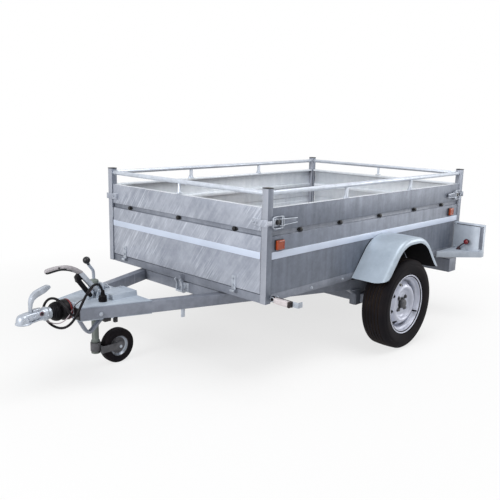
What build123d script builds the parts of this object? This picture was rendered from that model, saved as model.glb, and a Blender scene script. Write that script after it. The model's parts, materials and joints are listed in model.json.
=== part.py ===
from build123d import *
from math import atan, cos, hypot, pi, radians, sin, tan
import os

os.makedirs("parts", exist_ok=True)

# A braked single-axle utility trailer with a tipping bed. Millimetres.
# +X is the trailer's left, the front points towards -Y, +Z is up and the ground is Z = 0.
# Places along Y are measured from the wheel axis; put() moves them into the row's frame.
FRONT_TIP = -2085.0          # nose of the coupling head
REAR_TIP = 1016.0            # back of the tailgate hinges
ROW_Y = -(FRONT_TIP + REAR_TIP) / 2

# wheels: 165/70 R13 tyres on 5-inch steel rims
TYRE_R = 280.5
TYRE_W = 171.0
WHEEL_X = 821.5
RIM_R = 182.5
RIM_W = 140.0
BEAD_R = 168.0
WELL_R = 150.0
DRUM_R = 108.0
WHEEL_CENTRE = (WHEEL_X, 0, TYRE_R)
HUB_BORE_R = 17.05
STUB_R = 17.0
HUB_FACE = 26.0              # outer face of the hub's flange, from the wheel's middle
BOLT_PCD = 100.0
BOLT_R = 6.0

# bed
BED_X = 700.0                # outer face of the corner posts
POST = 40.0
POST_WALL = 3.0
POST_FRONT = -1080.0
POST_BACK = 1002.0
POST_LOW = 449.0
POST_TOP = 1046.0
CAP = 5.0
SKIN_X = 695.0               # outer skin of the side panels
SKIN_FRONT = -1075.0
SKIN_BACK = 997.0
SHEET = 2.5
PANEL_LOW = 497.0
PANEL_TOP = 948.0
FLANGE = 28.0
BAND_LOW = 682.0
BAND_TOP = 718.0
BAND_PROUD = 3.0
GROOVE_LOW = 799.0
GROOVE_TOP = 828.0
GROOVE_DEEP = 10.0
FRAME_LOW = 455.0
FRAME_TOP = 491.0
FLOOR_T = 9.0
RAIL_Z = 1021.0
RAIL_R = 13.0
GATE_GAP = 6.0
GATE_HALF = BED_X - POST - GATE_GAP
JOIN = 0.4                   # gap left at a welded or bolted joint between two pieces

# joints
TIP_Y = 150.0                # tipping pivot of the bed
TIP_Z = 410.0
GATE_Z = 478.0               # hinge axes of the two gates
GATE_FRONT_Y = -1088.0
GATE_BACK_Y = 1008.0
HINGE_PIN_R = 4.0
FRONT_HINGES = (-531.0, 466.0)
REAR_HINGES = (-500.0, 500.0)
JOCKEY_X = -118.0
JOCKEY_Y = -1572.0
JOCKEY_TRAIL = 140.0
JOCKEY_R = 100.0

# drawbar: two box beams in a V
BEAM_LOW = 380.0
BEAM_TOP = 440.0
BEAM_W = 50.0
BEAM_WALL = 3.0
BEAM_FRONT = -1800.0
BEAM_BACK = -150.0
BEAM_SLOPE = 0.3675          # sideways run of a beam for each millimetre along the trailer
BEAM_X0 = 777.0              # where the outer face would meet the wheel axis

AXLE_Y = -125.0
AXLE_Z = 300.0
AXLE_TUBE = 60.0


def block(x, y, z):
    """A box between three pairs of limits."""
    size = (x[1] - x[0], y[1] - y[0], z[1] - z[0])
    return Pos(x[0], y[0], z[0]) * Box(*size, align=Align.MIN)


def rod(start, end, radius, bore=0.0):
    """A round bar or tube between two points."""
    a, b = Vector(*start), Vector(*end)
    ring = Circle(radius) - Circle(bore) if bore else Circle(radius)
    return extrude(Plane(origin=a, z_dir=b - a) * ring, (b - a).length)


def side_shape(points, x0, x1):
    """A (y, z) outline made a plate between two X limits."""
    return extrude(Plane.YZ.offset(x0) * make_face(Polyline(*points, close=True)), x1 - x0)


def front_shape(points, y0, y1):
    """An (x, z) outline made a plate between two Y limits."""
    plane = Plane(origin=(0, y1, 0), x_dir=(1, 0, 0), z_dir=(0, -1, 0))
    return extrude(plane * make_face(Polyline(*points, close=True)), y1 - y0)


def plan_shape(points, z0, z1):
    """An (x, y) outline made a plate between two heights."""
    return extrude(Plane.XY.offset(z0) * make_face(Polyline(*points, close=True)), z1 - z0)


def strip(points, thick):
    """The closed outline of a bent sheet: points along one face, the other face `thick` to the left."""
    normals = []
    for (x0, y0), (x1, y1) in zip(points, points[1:]):
        run = hypot(x1 - x0, y1 - y0)
        normals.append((-(y1 - y0) / run, (x1 - x0) / run))
    inner = []
    for i, (x, y) in enumerate(points):
        a, b = normals[max(i - 1, 0)], normals[min(i, len(normals) - 1)]
        scale = thick / (1 + a[0] * b[0] + a[1] * b[1])
        inner.append((x + (a[0] + b[0]) * scale, y + (a[1] + b[1]) * scale))
    return list(points) + inner[::-1]


def turned(outline, centre):
    """A (x, radius) outline turned about an axis along X through a centre."""
    face = Plane.XZ * make_face(outline)
    return Pos(*centre) * revolve(face, Axis.X)


def mirrored(solid):
    return mirror(solid, Plane.YZ)


def put(name, *solids):
    """Moves a node into the row's frame and writes it."""
    moved = [Pos(0, ROW_Y, 0) * solid for solid in solids]
    shape = moved[0] if len(moved) == 1 else Compound(children=moved)
    shape.label = name
    export_step(shape, f"parts/{name}.step")


# --- wheels -------------------------------------------------------------------------------
TYRE_HALF = [(64, BEAD_R), (64, 184), (TYRE_W / 2, 250), (66, TYRE_R)]


def tyre():
    """A tyre's section, bead to crown, as flat bands; its tread stands on the crown."""
    outline = TYRE_HALF + [(-x, r) for x, r in reversed(TYRE_HALF)]
    return turned(Polyline(*outline, close=True), WHEEL_CENTRE)


RIM_FACE = [(RIM_W / 2, RIM_R), (RIM_W / 2 - 6, BEAD_R + 8), (RIM_W / 2 - 6, BEAD_R),
            (30, WELL_R), (-24, WELL_R),
            (6 - RIM_W / 2, BEAD_R), (6 - RIM_W / 2, BEAD_R + 8), (-RIM_W / 2, RIM_R)]
DISC_FACE = [(30, 29), (30, 72), (42, 86), (50, 104), (46, 122), (24, 143.5), (4, 146.5)]
VENTS = 8
VENT_INNER = (127, 6)        # radius and half width of a vent at its point and at the barrel
VENT_OUTER = (149, 19)


def bolt_circle():
    return PolarLocations(BOLT_PCD / 2, 4, start_angle=45)


def rim():
    """A drop-centre barrel with a pressed disc: raised ring, sunk bowl, vents at the disc's edge."""
    barrel = turned(Polyline(*strip(RIM_FACE, 3.5), close=True), WHEEL_CENTRE)
    disc = turned(Polyline(*strip(DISC_FACE, -4), close=True), WHEEL_CENTRE)
    (r0, w0), (r1, w1) = VENT_INNER, VENT_OUTER
    vent = Polygon((r0, -w0), (r1, -w1), (r1, w1), (r0, w0), align=None)
    holes = Sketch() + [loc * vent for loc in PolarLocations(0, VENTS)]
    bolts = Sketch() + [loc * Circle(BOLT_R + 1) for loc in bolt_circle()]
    drill = Plane(origin=WHEEL_CENTRE, x_dir=(0, 1, 0), z_dir=(1, 0, 0))
    disc -= extrude(drill * (holes + bolts), RIM_W / 2, both=True)
    return barrel + disc


def hub():
    """Brake drum, flange, grease cap and wheel bolts, bored for the stub axle."""
    cap_end, bore_end = 60, 50
    outline = Polyline((-72, 40), (-72, DRUM_R), (-30, DRUM_R), (-24, 76), (HUB_FACE, 76), (HUB_FACE, 28),
                       (48, 28), (58, 22), (cap_end, 0), (bore_end, 0), (bore_end, HUB_BORE_R),
                       (-66, HUB_BORE_R), (-66, 40), close=True)
    studs = Plane(origin=(WHEEL_X + HUB_FACE, 0, TYRE_R), x_dir=(0, 1, 0), z_dir=(1, 0, 0))
    heads = Sketch() + [loc * Circle(BOLT_R) for loc in bolt_circle()]
    return turned(outline, WHEEL_CENTRE) + extrude(studs * heads, 14)


# --- drawbar ------------------------------------------------------------------------------
def beam_x(y, inset=0.0):
    """X of the left beam's outer face, or of a line `inset` inside it, at a place along the trailer."""
    return BEAM_X0 + BEAM_SLOPE * y - inset / cos(atan(BEAM_SLOPE))


def drawbar_beam():
    def plan(inset, front, back):
        return [(beam_x(front, inset), front), (beam_x(back, inset), back),
                (beam_x(back, BEAM_W - inset), back), (beam_x(front, BEAM_W - inset), front)]
    beam = plan_shape(plan(0, BEAM_FRONT, BEAM_BACK), BEAM_LOW, BEAM_TOP)
    hollow = plan(BEAM_WALL, BEAM_FRONT - 5, BEAM_BACK + 5)
    return beam - plan_shape(hollow, BEAM_LOW + BEAM_WALL, BEAM_TOP - BEAM_WALL)


def beam_cap():
    """The moulded cap on the left beam's front end, which the lighting cable comes out of."""
    front, back = BEAM_FRONT - CAP_T, BEAM_FRONT - JOIN
    quad = [(beam_x(y, inset), y) for y, inset in ((front, 0), (back, 0), (back, BEAM_W), (front, BEAM_W))]
    return plan_shape(quad, BEAM_LOW, BEAM_TOP)


CAP_T = 4.0
CROSS_Y = (-1062.0, -1002.0)
HOUSING_Y = (-1800.0, -1450.0)
HOUSING_PLATE = 6.0
SHAFT_Z = 418.0
SHAFT_R = 20.0
LEVER_PIVOT = (-1622.0, 480.0)
LEVER_PIN_R = 7.0
STRUT_FOOT = (-1668.0, 461.0)


def crossbeam():
    def plan(gap, y0, y1):
        return [(-beam_x(y0, BEAM_W) + gap, y0), (beam_x(y0, BEAM_W) - gap, y0),
                (beam_x(y1, BEAM_W) - gap, y1), (-beam_x(y1, BEAM_W) + gap, y1)]
    solid = plan_shape(plan(0, *CROSS_Y), BEAM_LOW, BEAM_TOP)
    core = plan_shape(plan(-1, CROSS_Y[0] + 3, CROSS_Y[1] - 3), BEAM_LOW + 3, BEAM_TOP - 3)
    return solid - core


def overrun_housing():
    """The fixed tube of the overrun device between two plates, with a raised saddle for the jockey clamp."""
    y0, y1 = HOUSING_Y
    inset = 6
    half = [(beam_x(y0) - inset, y0), (beam_x(y1) - inset, y1)]
    plan = half + [(-x, y) for x, y in reversed(half)]
    deck = BEAM_TOP + HOUSING_PLATE
    body = plan_shape(plan, BEAM_TOP, deck) + plan_shape(plan, BEAM_LOW - HOUSING_PLATE, BEAM_LOW)
    body += rod((0, y0 - 60, SHAFT_Z), (0, y1, SHAFT_Z), SHAFT_R)
    body += block((-60, 60), (y0, y0 + 8), (BEAM_LOW - HOUSING_PLATE, BEAM_TOP + 20))
    body += front_shape([(-26, deck), (-20, deck + 26), (104, deck + 26), (110, deck)], y1 - 150, y1)
    y, z = LEVER_PIVOT
    ear = side_shape([(y - 24, deck), (y - 12, z + 13), (y + 12, z + 13), (y + 22, deck)], 15, 21)
    body += ear + mirrored(ear) + block((-7, 7), (STRUT_FOOT[0] - 16, STRUT_FOOT[0] + 8), (deck, deck + 24))
    body -= rod((-30, y, z), (30, y, z), LEVER_PIN_R)
    return body - rod((JOCKEY_X, JOCKEY_Y, BEAM_LOW - 20), (JOCKEY_X, JOCKEY_Y, BEAM_TOP + 40), TUBE_R + 6)


# --- tipping bed --------------------------------------------------------------------------
def panel_outline(face):
    """Section of a rolled panel as (distance from centre, height): flanges, proud band and sunk groove."""
    edge = face - FLANGE
    sunk = face - GROOVE_DEEP
    points = [(edge, PANEL_LOW + 14), (edge, PANEL_LOW), (face, PANEL_LOW),
              (face, BAND_LOW - 3), (face + BAND_PROUD, BAND_LOW),
              (face + BAND_PROUD, BAND_TOP), (face, BAND_TOP + 3),
              (face, GROOVE_LOW), (sunk, GROOVE_LOW + 4), (sunk, GROOVE_TOP - 4), (face, GROOVE_TOP),
              (face, PANEL_TOP), (edge, PANEL_TOP), (edge, PANEL_TOP - 14)]
    return strip(points, SHEET)


def side_panel():
    y0, y1 = POST_FRONT + POST + JOIN, POST_BACK - POST - JOIN
    return front_shape(panel_outline(SKIN_X), y0, y1)


def gate_panel(face, sign):
    """A gate between the posts: the same section along X, with a closing flange at each end."""
    body = side_shape([(sign * d, z) for d, z in panel_outline(abs(face))], -GATE_HALF, GATE_HALF)
    depth = sorted((sign * (abs(face) - FLANGE), sign * (abs(face) - GROOVE_DEEP - 1)))
    end = block((GATE_HALF - SHEET, GATE_HALF), depth, (PANEL_LOW + 1, PANEL_TOP - 1))
    return body + end + mirrored(end)


def hinge_strap(x, face, sign, axis_y):
    """A J-shaped strap on a gate's foot, rolled round its hinge pin."""
    plate = block((x - 15, x + 15), sorted((face, face + sign * 6)), (GATE_Z - 2, GATE_Z + 84))
    barrel = rod((x - 15, axis_y, GATE_Z), (x + 15, axis_y, GATE_Z), 8)
    return plate + barrel - rod((x - 16, axis_y, GATE_Z), (x + 16, axis_y, GATE_Z), HINGE_PIN_R + 0.05)


def hinge_pin(x, frame_y, sign, axis_y):
    """A pin between two ears that stand out from the bed's frame on either side of a strap."""
    ears = [block((x + e, x + e + 4), sorted((frame_y, axis_y)), (GATE_Z - 7, GATE_Z + 7))
            + rod((x + e, axis_y, GATE_Z), (x + e + 4, axis_y, GATE_Z), 7) for e in (-20, 16)]
    return ears[0] + ears[1] + rod((x - 20, axis_y, GATE_Z), (x + 20, axis_y, GATE_Z), HINGE_PIN_R)


def post(x0, y0):
    outer = block((x0, x0 + POST), (y0, y0 + POST), (POST_LOW, POST_TOP))
    core = block((x0 + POST_WALL, x0 + POST - POST_WALL), (y0 + POST_WALL, y0 + POST - POST_WALL),
                 (POST_LOW - 1, POST_TOP + 1))
    return outer - core


FENDER_FOOT = 325.0          # half length at the foot, and the foot's height
FENDER_LOW = 465.0
FENDER_KNEE = 135.0
FENDER_TOP = 698.0
FENDER_BEND = 220.0
FENDER_X = (SKIN_X + BAND_PROUD + JOIN, 922.0)
FENDER_LIP = 34.0
FENDER_ROLL = 22.0
FENDER_CORNER = 58.0
FENDER_T = 2.0


def fender_arch(inset, low):
    """The area under the mudguard's curve, `inset` inside it, down to a height."""
    slope = (FENDER_TOP - FENDER_LOW) / (FENDER_FOOT - FENDER_KNEE)
    reach = 120
    foot, foot_z = FENDER_FOOT + reach / slope, FENDER_LOW - reach
    area = make_face(Polyline((-foot, foot_z), (-FENDER_KNEE, FENDER_TOP), (FENDER_KNEE, FENDER_TOP),
                              (foot, foot_z), close=True))
    area = fillet(area.vertices().group_by(Axis.Y)[-1], FENDER_BEND)
    if inset:
        area = offset(area, -inset)
    return area - Pos(0, low - reach) * Rectangle(4 * foot, 2 * reach)


def fender():
    """A pressed mudguard: its outer edge rolled down to a lip, its lower outer corners rounded in plan."""
    x0, x1 = FENDER_X
    def filled(inset, low, radius):
        solid = extrude(Plane.YZ.offset(x0 + inset) * fender_arch(inset, low), x1 - x0 - 2 * inset)
        rim_edges = solid.faces().sort_by(Axis.X)[-1].edges()
        return fillet(rim_edges - rim_edges.group_by(Axis.Z)[0], radius)
    sheet = filled(0, FENDER_LOW, FENDER_ROLL) - filled(FENDER_T, FENDER_LOW - 20, FENDER_ROLL - FENDER_T)
    sheet -= extrude(Plane.YZ.offset(x0 - 1) * fender_arch(FENDER_LIP, FENDER_LOW - 20), x1 - x0 + 2)
    plan = Pos((x0 + x1) / 2, 0, FENDER_LOW - 1) * Rectangle(x1 - x0, 2 * FENDER_FOOT)
    plan = fillet(plan.vertices().group_by(Axis.X)[-1], FENDER_CORNER)
    return sheet & extrude(plan, FENDER_TOP - FENDER_LOW + 2)


def tube_rail(start, end, stanchion, foot_z):
    """A top rail between two posts with one or two flared uprights standing on a panel's edge."""
    rail = rod(start, end, RAIL_R, RAIL_R - 2)
    for x, y in stanchion:
        upright = rod((x, y, foot_z + 4), (x, y, RAIL_Z - RAIL_R + 2), 9)
        foot = Pos(x, y, foot_z) * extrude(Circle(21), 4)
        rail += upright + foot
    return rail


def lamp_board():
    """The left rear lamp's plate behind the wheel, with its outer flange and its slanted shelf bar."""
    plate = block((BED_X, 925), (928, 931), (486, 676))
    flange = block((922, 925), (928, 958), (486, 676))
    top = block((BED_X, 925), (928, 958), (673, 676))
    x = BED_X
    shelf = plan_shape([(x, 690), (x + 10, 690), (925, 925), (925, 962), (x, 962)], 446, 486)
    shelf -= plan_shape([(x + 3, 703), (x + 8, 703), (922, 928), (922, 959), (x + 3, 959)], 445, 483)
    return plate + flange + top + shelf


def rear_lamp():
    """The left cluster lamp on the back of its plate."""
    return fillet(block((722, 912), (931, 976), (500, 640)).edges().filter_by(Axis.Y), 14)


def stalk_lamp():
    """The left outline marker: a rubber foot on the lamp board's shelf, a leaning stalk and a round lamp."""
    foot = Pos(752, 900, 494) * Cone(17, 8, 16)
    stalk = rod((754, 900, 498), (792, 900, 538), 5.5)
    return foot + stalk + rod((799, 888, 546), (799, 912, 546), 17)


FRONT_MARKER_Y = -1036.0
MARKER_LAMP_X = (742.0, 850.0)


def front_marker():
    """A flat bar out from the left front post, its end bent back, which carries the white marker lamp."""
    y = FRONT_MARKER_Y
    bar = plan_shape(strip([(BED_X + JOIN, y - 5), (886, y - 5), (886, y + 30)], 5), 465, 493)
    return bar + rod((722, y - 16, 479), (722, y - 4, 479), 13)


def front_marker_lamp():
    y = FRONT_MARKER_Y
    lamp = block(MARKER_LAMP_X, (y - 33, y - 5 - JOIN), (463, 495))
    return fillet(lamp.edges().group_by(Axis.Y)[0], 6)


SIDE_LAMPS = ((-1017.0, -943.0), (816.0, 890.0))
LATCH_Z = 872.0
LATCH_GAP = 6.0              # play between a latch's frame and the strap that it pulls


def side_lamp(y0, y1):
    lamp = block((SKIN_X + JOIN, SKIN_X + 20), (y0, y1), (726, 782))
    return fillet(lamp.edges().group_by(Axis.X)[-1], 6)


def panel_latch():
    """The left front toggle latch, drawn unhooked: base plate, pulling frame and its hand lever."""
    z = LATCH_Z
    start = POST_FRONT + POST - LATCH_GAP
    latch = block((SKIN_X + JOIN, SKIN_X + 4), (start + 8, start + 92), (z - 20, z + 20))
    for side in (-17, 17):
        latch += block((SKIN_X + 3, SKIN_X + 18), (start + 50, start + 86), (z + side - 2, z + side + 2))
    frame = block((704, 710), (start, start + 84), (z - 33, z + 33))
    frame -= block((703, 711), (start + 6, start + 78), (z - 27, z + 27))
    lever = block((706, 712), (start + 78, start + 190), (z - 15, z + 15))
    lever -= block((705, 713), (start + 96, start + 184), (z - 9, z + 9))
    return latch + frame + lever + rod((707, start + 70, z - 30), (707, start + 70, z + 30), 4)


def gate_strap(face, sign, post_face):
    """The left strap on a gate: across the post and round its corner, where the latch pulls it."""
    lie = post_face + sign * 5
    inner = GATE_HALF - 54
    tall, narrow = (LATCH_Z - 18, LATCH_Z + 18), (LATCH_Z - 12, LATCH_Z + 12)
    spacer = block((inner, GATE_HALF - 4), sorted((face, lie)), tall)
    front = block((inner, BED_X + 8), sorted((lie, lie + sign * 3)), tall)
    side = block((BED_X + 5, BED_X + 8), sorted((lie + sign * 3, post_face - sign * 28)), narrow)
    return spacer + front + side


REAR_BAR = ((908.0, 1008.0), (300.0, 398.0))


def rear_bar():
    """A pressed cross bar low behind the bed: a channel open below, with closed ends."""
    (y0, y1), (z0, z1) = REAR_BAR
    wall = 3
    bar = block((-BED_X, BED_X), (y0, y1), (z0, z1))
    bar = fillet(bar.edges().filter_by(Axis.X).group_by(Axis.Z)[-1], 6)
    return bar - block((wall - BED_X, BED_X - wall), (y0 + wall, y1 - wall), (z0 - 1, z1 - wall))


def rear_bar_hanger():
    """One of the two brackets that hang the cross bar in the channel of the last cross member."""
    (y0, y1), z1 = REAR_BAR[0], REAR_BAR[1][1]
    return block((430, 470), (y0 + 48, y1 - 20), (z1 + JOIN, FRAME_TOP - 3 - JOIN))


PIVOT_R = 10.0
CROSS_MEMBERS = ((POST_FRONT + POST - 30, 8), (-620, 0), (TIP_Y - 20, 0), (560, 0),
                 (POST_BACK - POST - 10, 8))      # front face, and how far it hangs below the rails
MEMBER_W = 40.0


def pivot_lug():
    """The left lug under the frame, which turns on the bracket's pin when the bed tips."""
    x0, x1 = 618, 642
    plate = side_shape([(TIP_Y - 34, FRAME_LOW + 2), (TIP_Y + 34, FRAME_LOW + 2),
                        (TIP_Y + 22, TIP_Z), (TIP_Y - 22, TIP_Z)], x0, x1)
    eye = rod((x0, TIP_Y, TIP_Z), (x1, TIP_Y, TIP_Z), 22)
    return plate + eye - rod((x0 - 1, TIP_Y, TIP_Z), (x1 + 1, TIP_Y, TIP_Z), PIVOT_R + 0.05)


def bed_frame():
    """Side rails, cross members and the two pivot lugs under the floor."""
    front, back = POST_FRONT + POST, POST_BACK - POST
    wall = 3
    top = PANEL_LOW - JOIN
    rail = block((655, SKIN_X), (front + JOIN, back - JOIN), (FRAME_LOW, top))
    rail -= block((655 + wall, SKIN_X - wall), (front - 1, back + 1), (FRAME_LOW + wall, top - wall))
    frame = rail + mirrored(rail)
    for y0, deeper in CROSS_MEMBERS:
        beam = block((-657, 657), (y0, y0 + MEMBER_W), (FRAME_LOW - deeper, FRAME_TOP))
        open_below = block((-654, 654), (y0 + wall, y0 + MEMBER_W - wall), (FRAME_LOW - 9, FRAME_TOP - wall))
        frame += beam - open_below
    lug = pivot_lug()
    frame += lug + mirrored(lug)
    frame += block((30, 50), (POST_FRONT - 22, front - 30), (FRAME_LOW - 6, FRAME_LOW + 30))
    for x in FRONT_HINGES:
        frame += hinge_pin(x, front - 30, -1, GATE_FRONT_Y)
    for x in REAR_HINGES:
        frame += hinge_pin(x, back + 30, 1, GATE_BACK_Y)
    return frame


def axle_bracket():
    """A welded hanger: it ties the beam's back end to the axle tube and carries the bed's pivot pin."""
    half = AXLE_TUBE / 2
    cheek = [(AXLE_Y - half - 45, AXLE_Z - half - 8), (AXLE_Y + half + 6, AXLE_Z - half - 8),
             (AXLE_Y + half + 40, AXLE_Z + half - 20), (TIP_Y + 22, TIP_Z - 20), (TIP_Y + 22, TIP_Z + 12),
             (TIP_Y + 8, TIP_Z + 24), (TIP_Y - 24, TIP_Z + 18), (AXLE_Y + half + 10, BEAM_LOW - 4),
             (AXLE_Y - half - 130, BEAM_LOW - 4), (AXLE_Y - half - 45, AXLE_Z + half)]
    solid = side_shape(cheek, 606, 613) + side_shape(cheek, 647, 654)
    solid += side_shape([(AXLE_Y - half - 130, BEAM_LOW - 4), (AXLE_Y + half + 10, BEAM_LOW - 4),
                         (AXLE_Y + half + 10, BEAM_LOW), (AXLE_Y - half - 130, BEAM_LOW)], 606, 700)
    solid += rod((600, TIP_Y, TIP_Z), (660, TIP_Y, TIP_Z), PIVOT_R)
    tube = block((600, 700), (AXLE_Y - half, AXLE_Y + half), (AXLE_Z - half, AXLE_Z + half))
    return solid - tube


def axle_tube():
    half = AXLE_TUBE / 2
    outer = block((-690, 690), (AXLE_Y - half, AXLE_Y + half), (AXLE_Z - half, AXLE_Z + half))
    outer = chamfer(outer.edges().filter_by(Axis.X), 6)
    inner = half - 5
    return outer - block((-691, 691), (AXLE_Y - inner, AXLE_Y + inner), (AXLE_Z - inner, AXLE_Z + inner))


def trailing_arm():
    """The left torsion arm with its brake backplate and stub axle."""
    start, end = (AXLE_Y, AXLE_Z), (0, TYRE_R)
    def eye(centre, radius, x0, x1):
        return rod((x0, *centre), (x1, *centre), radius)
    web = side_shape([(start[0], start[1] + 34), (end[0], end[1] + 30), (end[0], end[1] - 30),
                      (start[0], start[1] - 34)], 692, 716)
    arm = web + eye(start, 34, 692, 716) + eye(end, 30, 692, 716)
    plate = eye(end, 112, 728, 733)
    stub = eye(end, 24, 716, 742) + eye(end, STUB_R, 742, 864)
    return arm + plate + stub


# --- overrun device, jockey wheel and what is on the drawbar ---------------------------------
CABLE_R = 6.5
CABLE_ROUTE = [(103, -1804, 406), (103, -1824, 406), (101, -1846, 424), (84, -1858, 451), (55, -1866, 474),
               (18, -1872, 487), (-24, -1880, 484), (-56, -1888, 464), (-74, -1896, 432), (-73, -1898, 396),
               (-52, -1894, 364), (-17, -1886, 345), (26, -1878, 339), (69, -1870, 346), (106, -1860, 366),
               (130, -1846, 396), (141, -1828, 434), (138, -1800, 478), (126, -1764, 520), (109, -1722, 547),
               (94, -1682, 547), (86, -1656, 524), (85, -1648, 490)]
BREAK_R = 2.5
BREAK_ROUTE = [(13, -1664, 512), (25, -1664, 512), (36, -1686, 498), (46, -1716, 482), (58, -1748, 468),
               (68, -1781, 463), (76, -1810, 448), (74, -1828, 418), (64, -1842, 392), (46, -1856, 370),
               (22, -1870, 358), (-4, -1884, 356), (-26, -1898, 364), (-38, -1912, 380), (-38, -1912, 400)]
BELLOWS_Y = (-1898.0, -1800.0)
BELLOWS_FOLDS = 5
BELLOWS_PITCH = 9.0


def bellows():
    """A rubber gaiter: fine folds on the shaft, then one smooth bulge against the housing."""
    y0, y1 = BELLOWS_Y
    bore = SHAFT_R + 1
    points = [(y0, bore)]
    for i in range(BELLOWS_FOLDS):
        y = y0 + i * BELLOWS_PITCH
        points += [(y, 31 + i), (y + BELLOWS_PITCH / 2, 38 + i)]
    bulge = y0 + BELLOWS_FOLDS * BELLOWS_PITCH
    points += [(bulge, 36), (bulge + 12, 50), (bulge + 26, 53), (y1 - 12, 53), (y1, 42), (y1, bore)]
    face = Plane.YZ * make_face(Polyline(*points, close=True))
    return Pos(0, 0, SHAFT_Z) * revolve(face, Axis.Y)


BALL_Y = -2042.0
BALL_Z = 408.0
SOCKET_R = 25.3


def coupling_head():
    """A pressed coupling shell: round nose, waisted body with a skirt, open below for a 50 mm ball, and a
    round clamp on the shaft behind."""
    def outline(grow):
        half = [(38 + grow, BALL_Y + 8), (27 + grow, -1968), (27 + grow, -1948)]
        waist = Polygon(*half, *[(-x, y) for x, y in reversed(half)], align=None)
        return Pos(0, BALL_Y) * Circle(BALL_Y - FRONT_TIP - 3 + grow) + waist
    shell = extrude(Plane.XY.offset(386) * outline(0), 54)
    shell = fillet(shell.edges().group_by(Axis.Z)[-1], 12)
    skirt = extrude(Plane.XY.offset(379) * outline(3), 8)
    clamp = rod((0, -1966, SHAFT_Z), (0, -1899, SHAFT_Z), 30)
    clamp += rod((0, -1936, SHAFT_Z), (0, -1922, SHAFT_Z), 34)
    x, y, z = BREAK_ROUTE[-1]
    eye = block((x - 6, -18), (y - 7, y + 7), (z, z + 10))
    head = shell + skirt + clamp + eye
    head -= Pos(0, BALL_Y, BALL_Z) * Sphere(SOCKET_R)
    head -= rod((0, BALL_Y, 370), (0, BALL_Y, BALL_Z), SOCKET_R)
    return head


def coupling_handle():
    """The curved release handle over the coupling: a pressed channel, open on its inner side."""
    path = FilletPolyline((0, -2001, 440.4), (0, -2001, 515), (0, -1958, 545), (0, -1884, 560), radius=44)
    half = [(13.5, -7), (13.5, 7), (10.5, 7), (10.5, -4)]
    section = make_face(Polyline(*half, *[(-x, y) for x, y in reversed(half)], close=True))
    section = fillet(section.vertices().group_by(Axis.Y)[0], 4)
    return sweep(Plane(origin=path @ 0, x_dir=(1, 0, 0), z_dir=path % 0) * section, path)


def handbrake():
    """The lever's channel on its pivot, its moulded grip and the black strut that holds it on."""
    y, z = LEVER_PIVOT
    outer = side_shape([(-1612, 474), (-1632, 466), (-1726, 574), (-1738, 590), (-1712, 597)], -13, 13)
    hollow = side_shape([(-1600, 470), (-1634, 455), (-1730, 566), (-1738, 590), (-1722, 596)], -10, 10)
    lever = outer - hollow + rod((-22, y, z), (22, y, z), LEVER_PIN_R)
    path = FilletPolyline((0, -1722, 593), (0, -1810, 634), (0, -1912, 627), radius=60)
    grip = sweep(Plane(origin=path @ 0, z_dir=path % 0) * Ellipse(15, 11), path) - outer
    strut = rod((0, -1734, 552), (0, *STRUT_FOOT), 13)
    strut += side_shape([(-1746, 545), (-1722, 560), (-1700, 562), (-1738, 592), (-1754, 574)], -12.5, 12.5)
    foot = block((-7, 7), (STRUT_FOOT[0] - 16, STRUT_FOOT[0] + 8), (BEAM_TOP, BEAM_TOP + HOUSING_PLATE + 24))
    return lever, grip, strut - outer - foot - grip


def guide_loop():
    """A bent flat bar below the left beam, which keeps the brake rod and cables off the ground."""
    top, foot, thick = BEAM_LOW - HOUSING_PLATE - JOIN, 300, 9
    outer = [(-1802, top), (-1760, foot), (-1740, foot), (-1652, top)]
    inner = [(-1663, top), (-1743, foot + thick), (-1755, foot + thick), (-1792, top)]
    return side_shape(outer + inner, 88, 113)


def brake_rod():
    """The rod from the overrun lever to the equaliser yoke, held on a bracket in front of the axle."""
    rod_x, rod_z = 34, 345
    bar = rod((rod_x, -1640, rod_z), (rod_x, -240, rod_z), 5)
    arm = block((rod_x - 12, rod_x + 12), (-1650, -1610), (rod_z - 12, BEAM_LOW - 6))
    nuts = [extrude(Plane(origin=(rod_x, y, rod_z), z_dir=(0, 1, 0)) * RegularPolygon(11, 6), 14)
            for y in (-1600, -1580, -280)]
    yoke = block((rod_x - 60, rod_x + 60), (-262, -252), (rod_z - 12, rod_z + 12))
    hanger = block((rod_x - 14, rod_x + 14), (-300, AXLE_Y - AXLE_TUBE / 2), (rod_z - 27, rod_z - 15))
    hanger += block((rod_x - 14, rod_x + 14), (-300, -290), (rod_z - 16, rod_z + 12))
    return bar + arm + nuts[0] + nuts[1] + nuts[2] + yoke + hanger


def bed_latch():
    """The over-centre tipping latch on the cross beam's front, its claw open before the bed's catch."""
    y = CROSS_Y[0]
    claw = [(y - 4, 384), (y - 30, 380), (y - 46, 396), (y - 44, 440), (y - 58, 462), (y - 46, 470),
            (y - 30, 440), (y - 26, 404), (y - 4, 410)]
    latch = block((0, 80), (y - 4, y), (BEAM_LOW + 4, BEAM_TOP - 4))
    for x in (14, 60):
        latch += side_shape(claw, x, x + 6)
    return latch + rod((12, y - 40, 392), (68, y - 40, 392), 6)


TUBE_R = 24.0
LEG_R = 19.5
JOCKEY_CLAMP_Z = (446.0, 492.0)
JOCKEY_TUBE_Z = (285.0, 522.0)
FORK_Z = (112.0, 150.0)
JOCKEY_PIN_R = 6.0
KNOB_R = 20.0


def jockey_clamp():
    z0, z1 = JOCKEY_CLAMP_Z
    ring = jockey_rod(z0, z1, TUBE_R + 7, TUBE_R)
    foot = block((JOCKEY_X - 36, JOCKEY_X + 60), (JOCKEY_Y + 22, JOCKEY_Y + 34), (z0, z1))
    foot -= jockey_rod(z0 - 1, z1 + 1, TUBE_R + 3)
    lever = rod((JOCKEY_X + 50, JOCKEY_Y + 34, 469), (JOCKEY_X + 50, JOCKEY_Y + 62, 469), 6)
    bar = rod((JOCKEY_X + 20, JOCKEY_Y + 62, 478), (JOCKEY_X + 82, JOCKEY_Y + 62, 458), 5)
    return ring + foot + lever + bar


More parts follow.
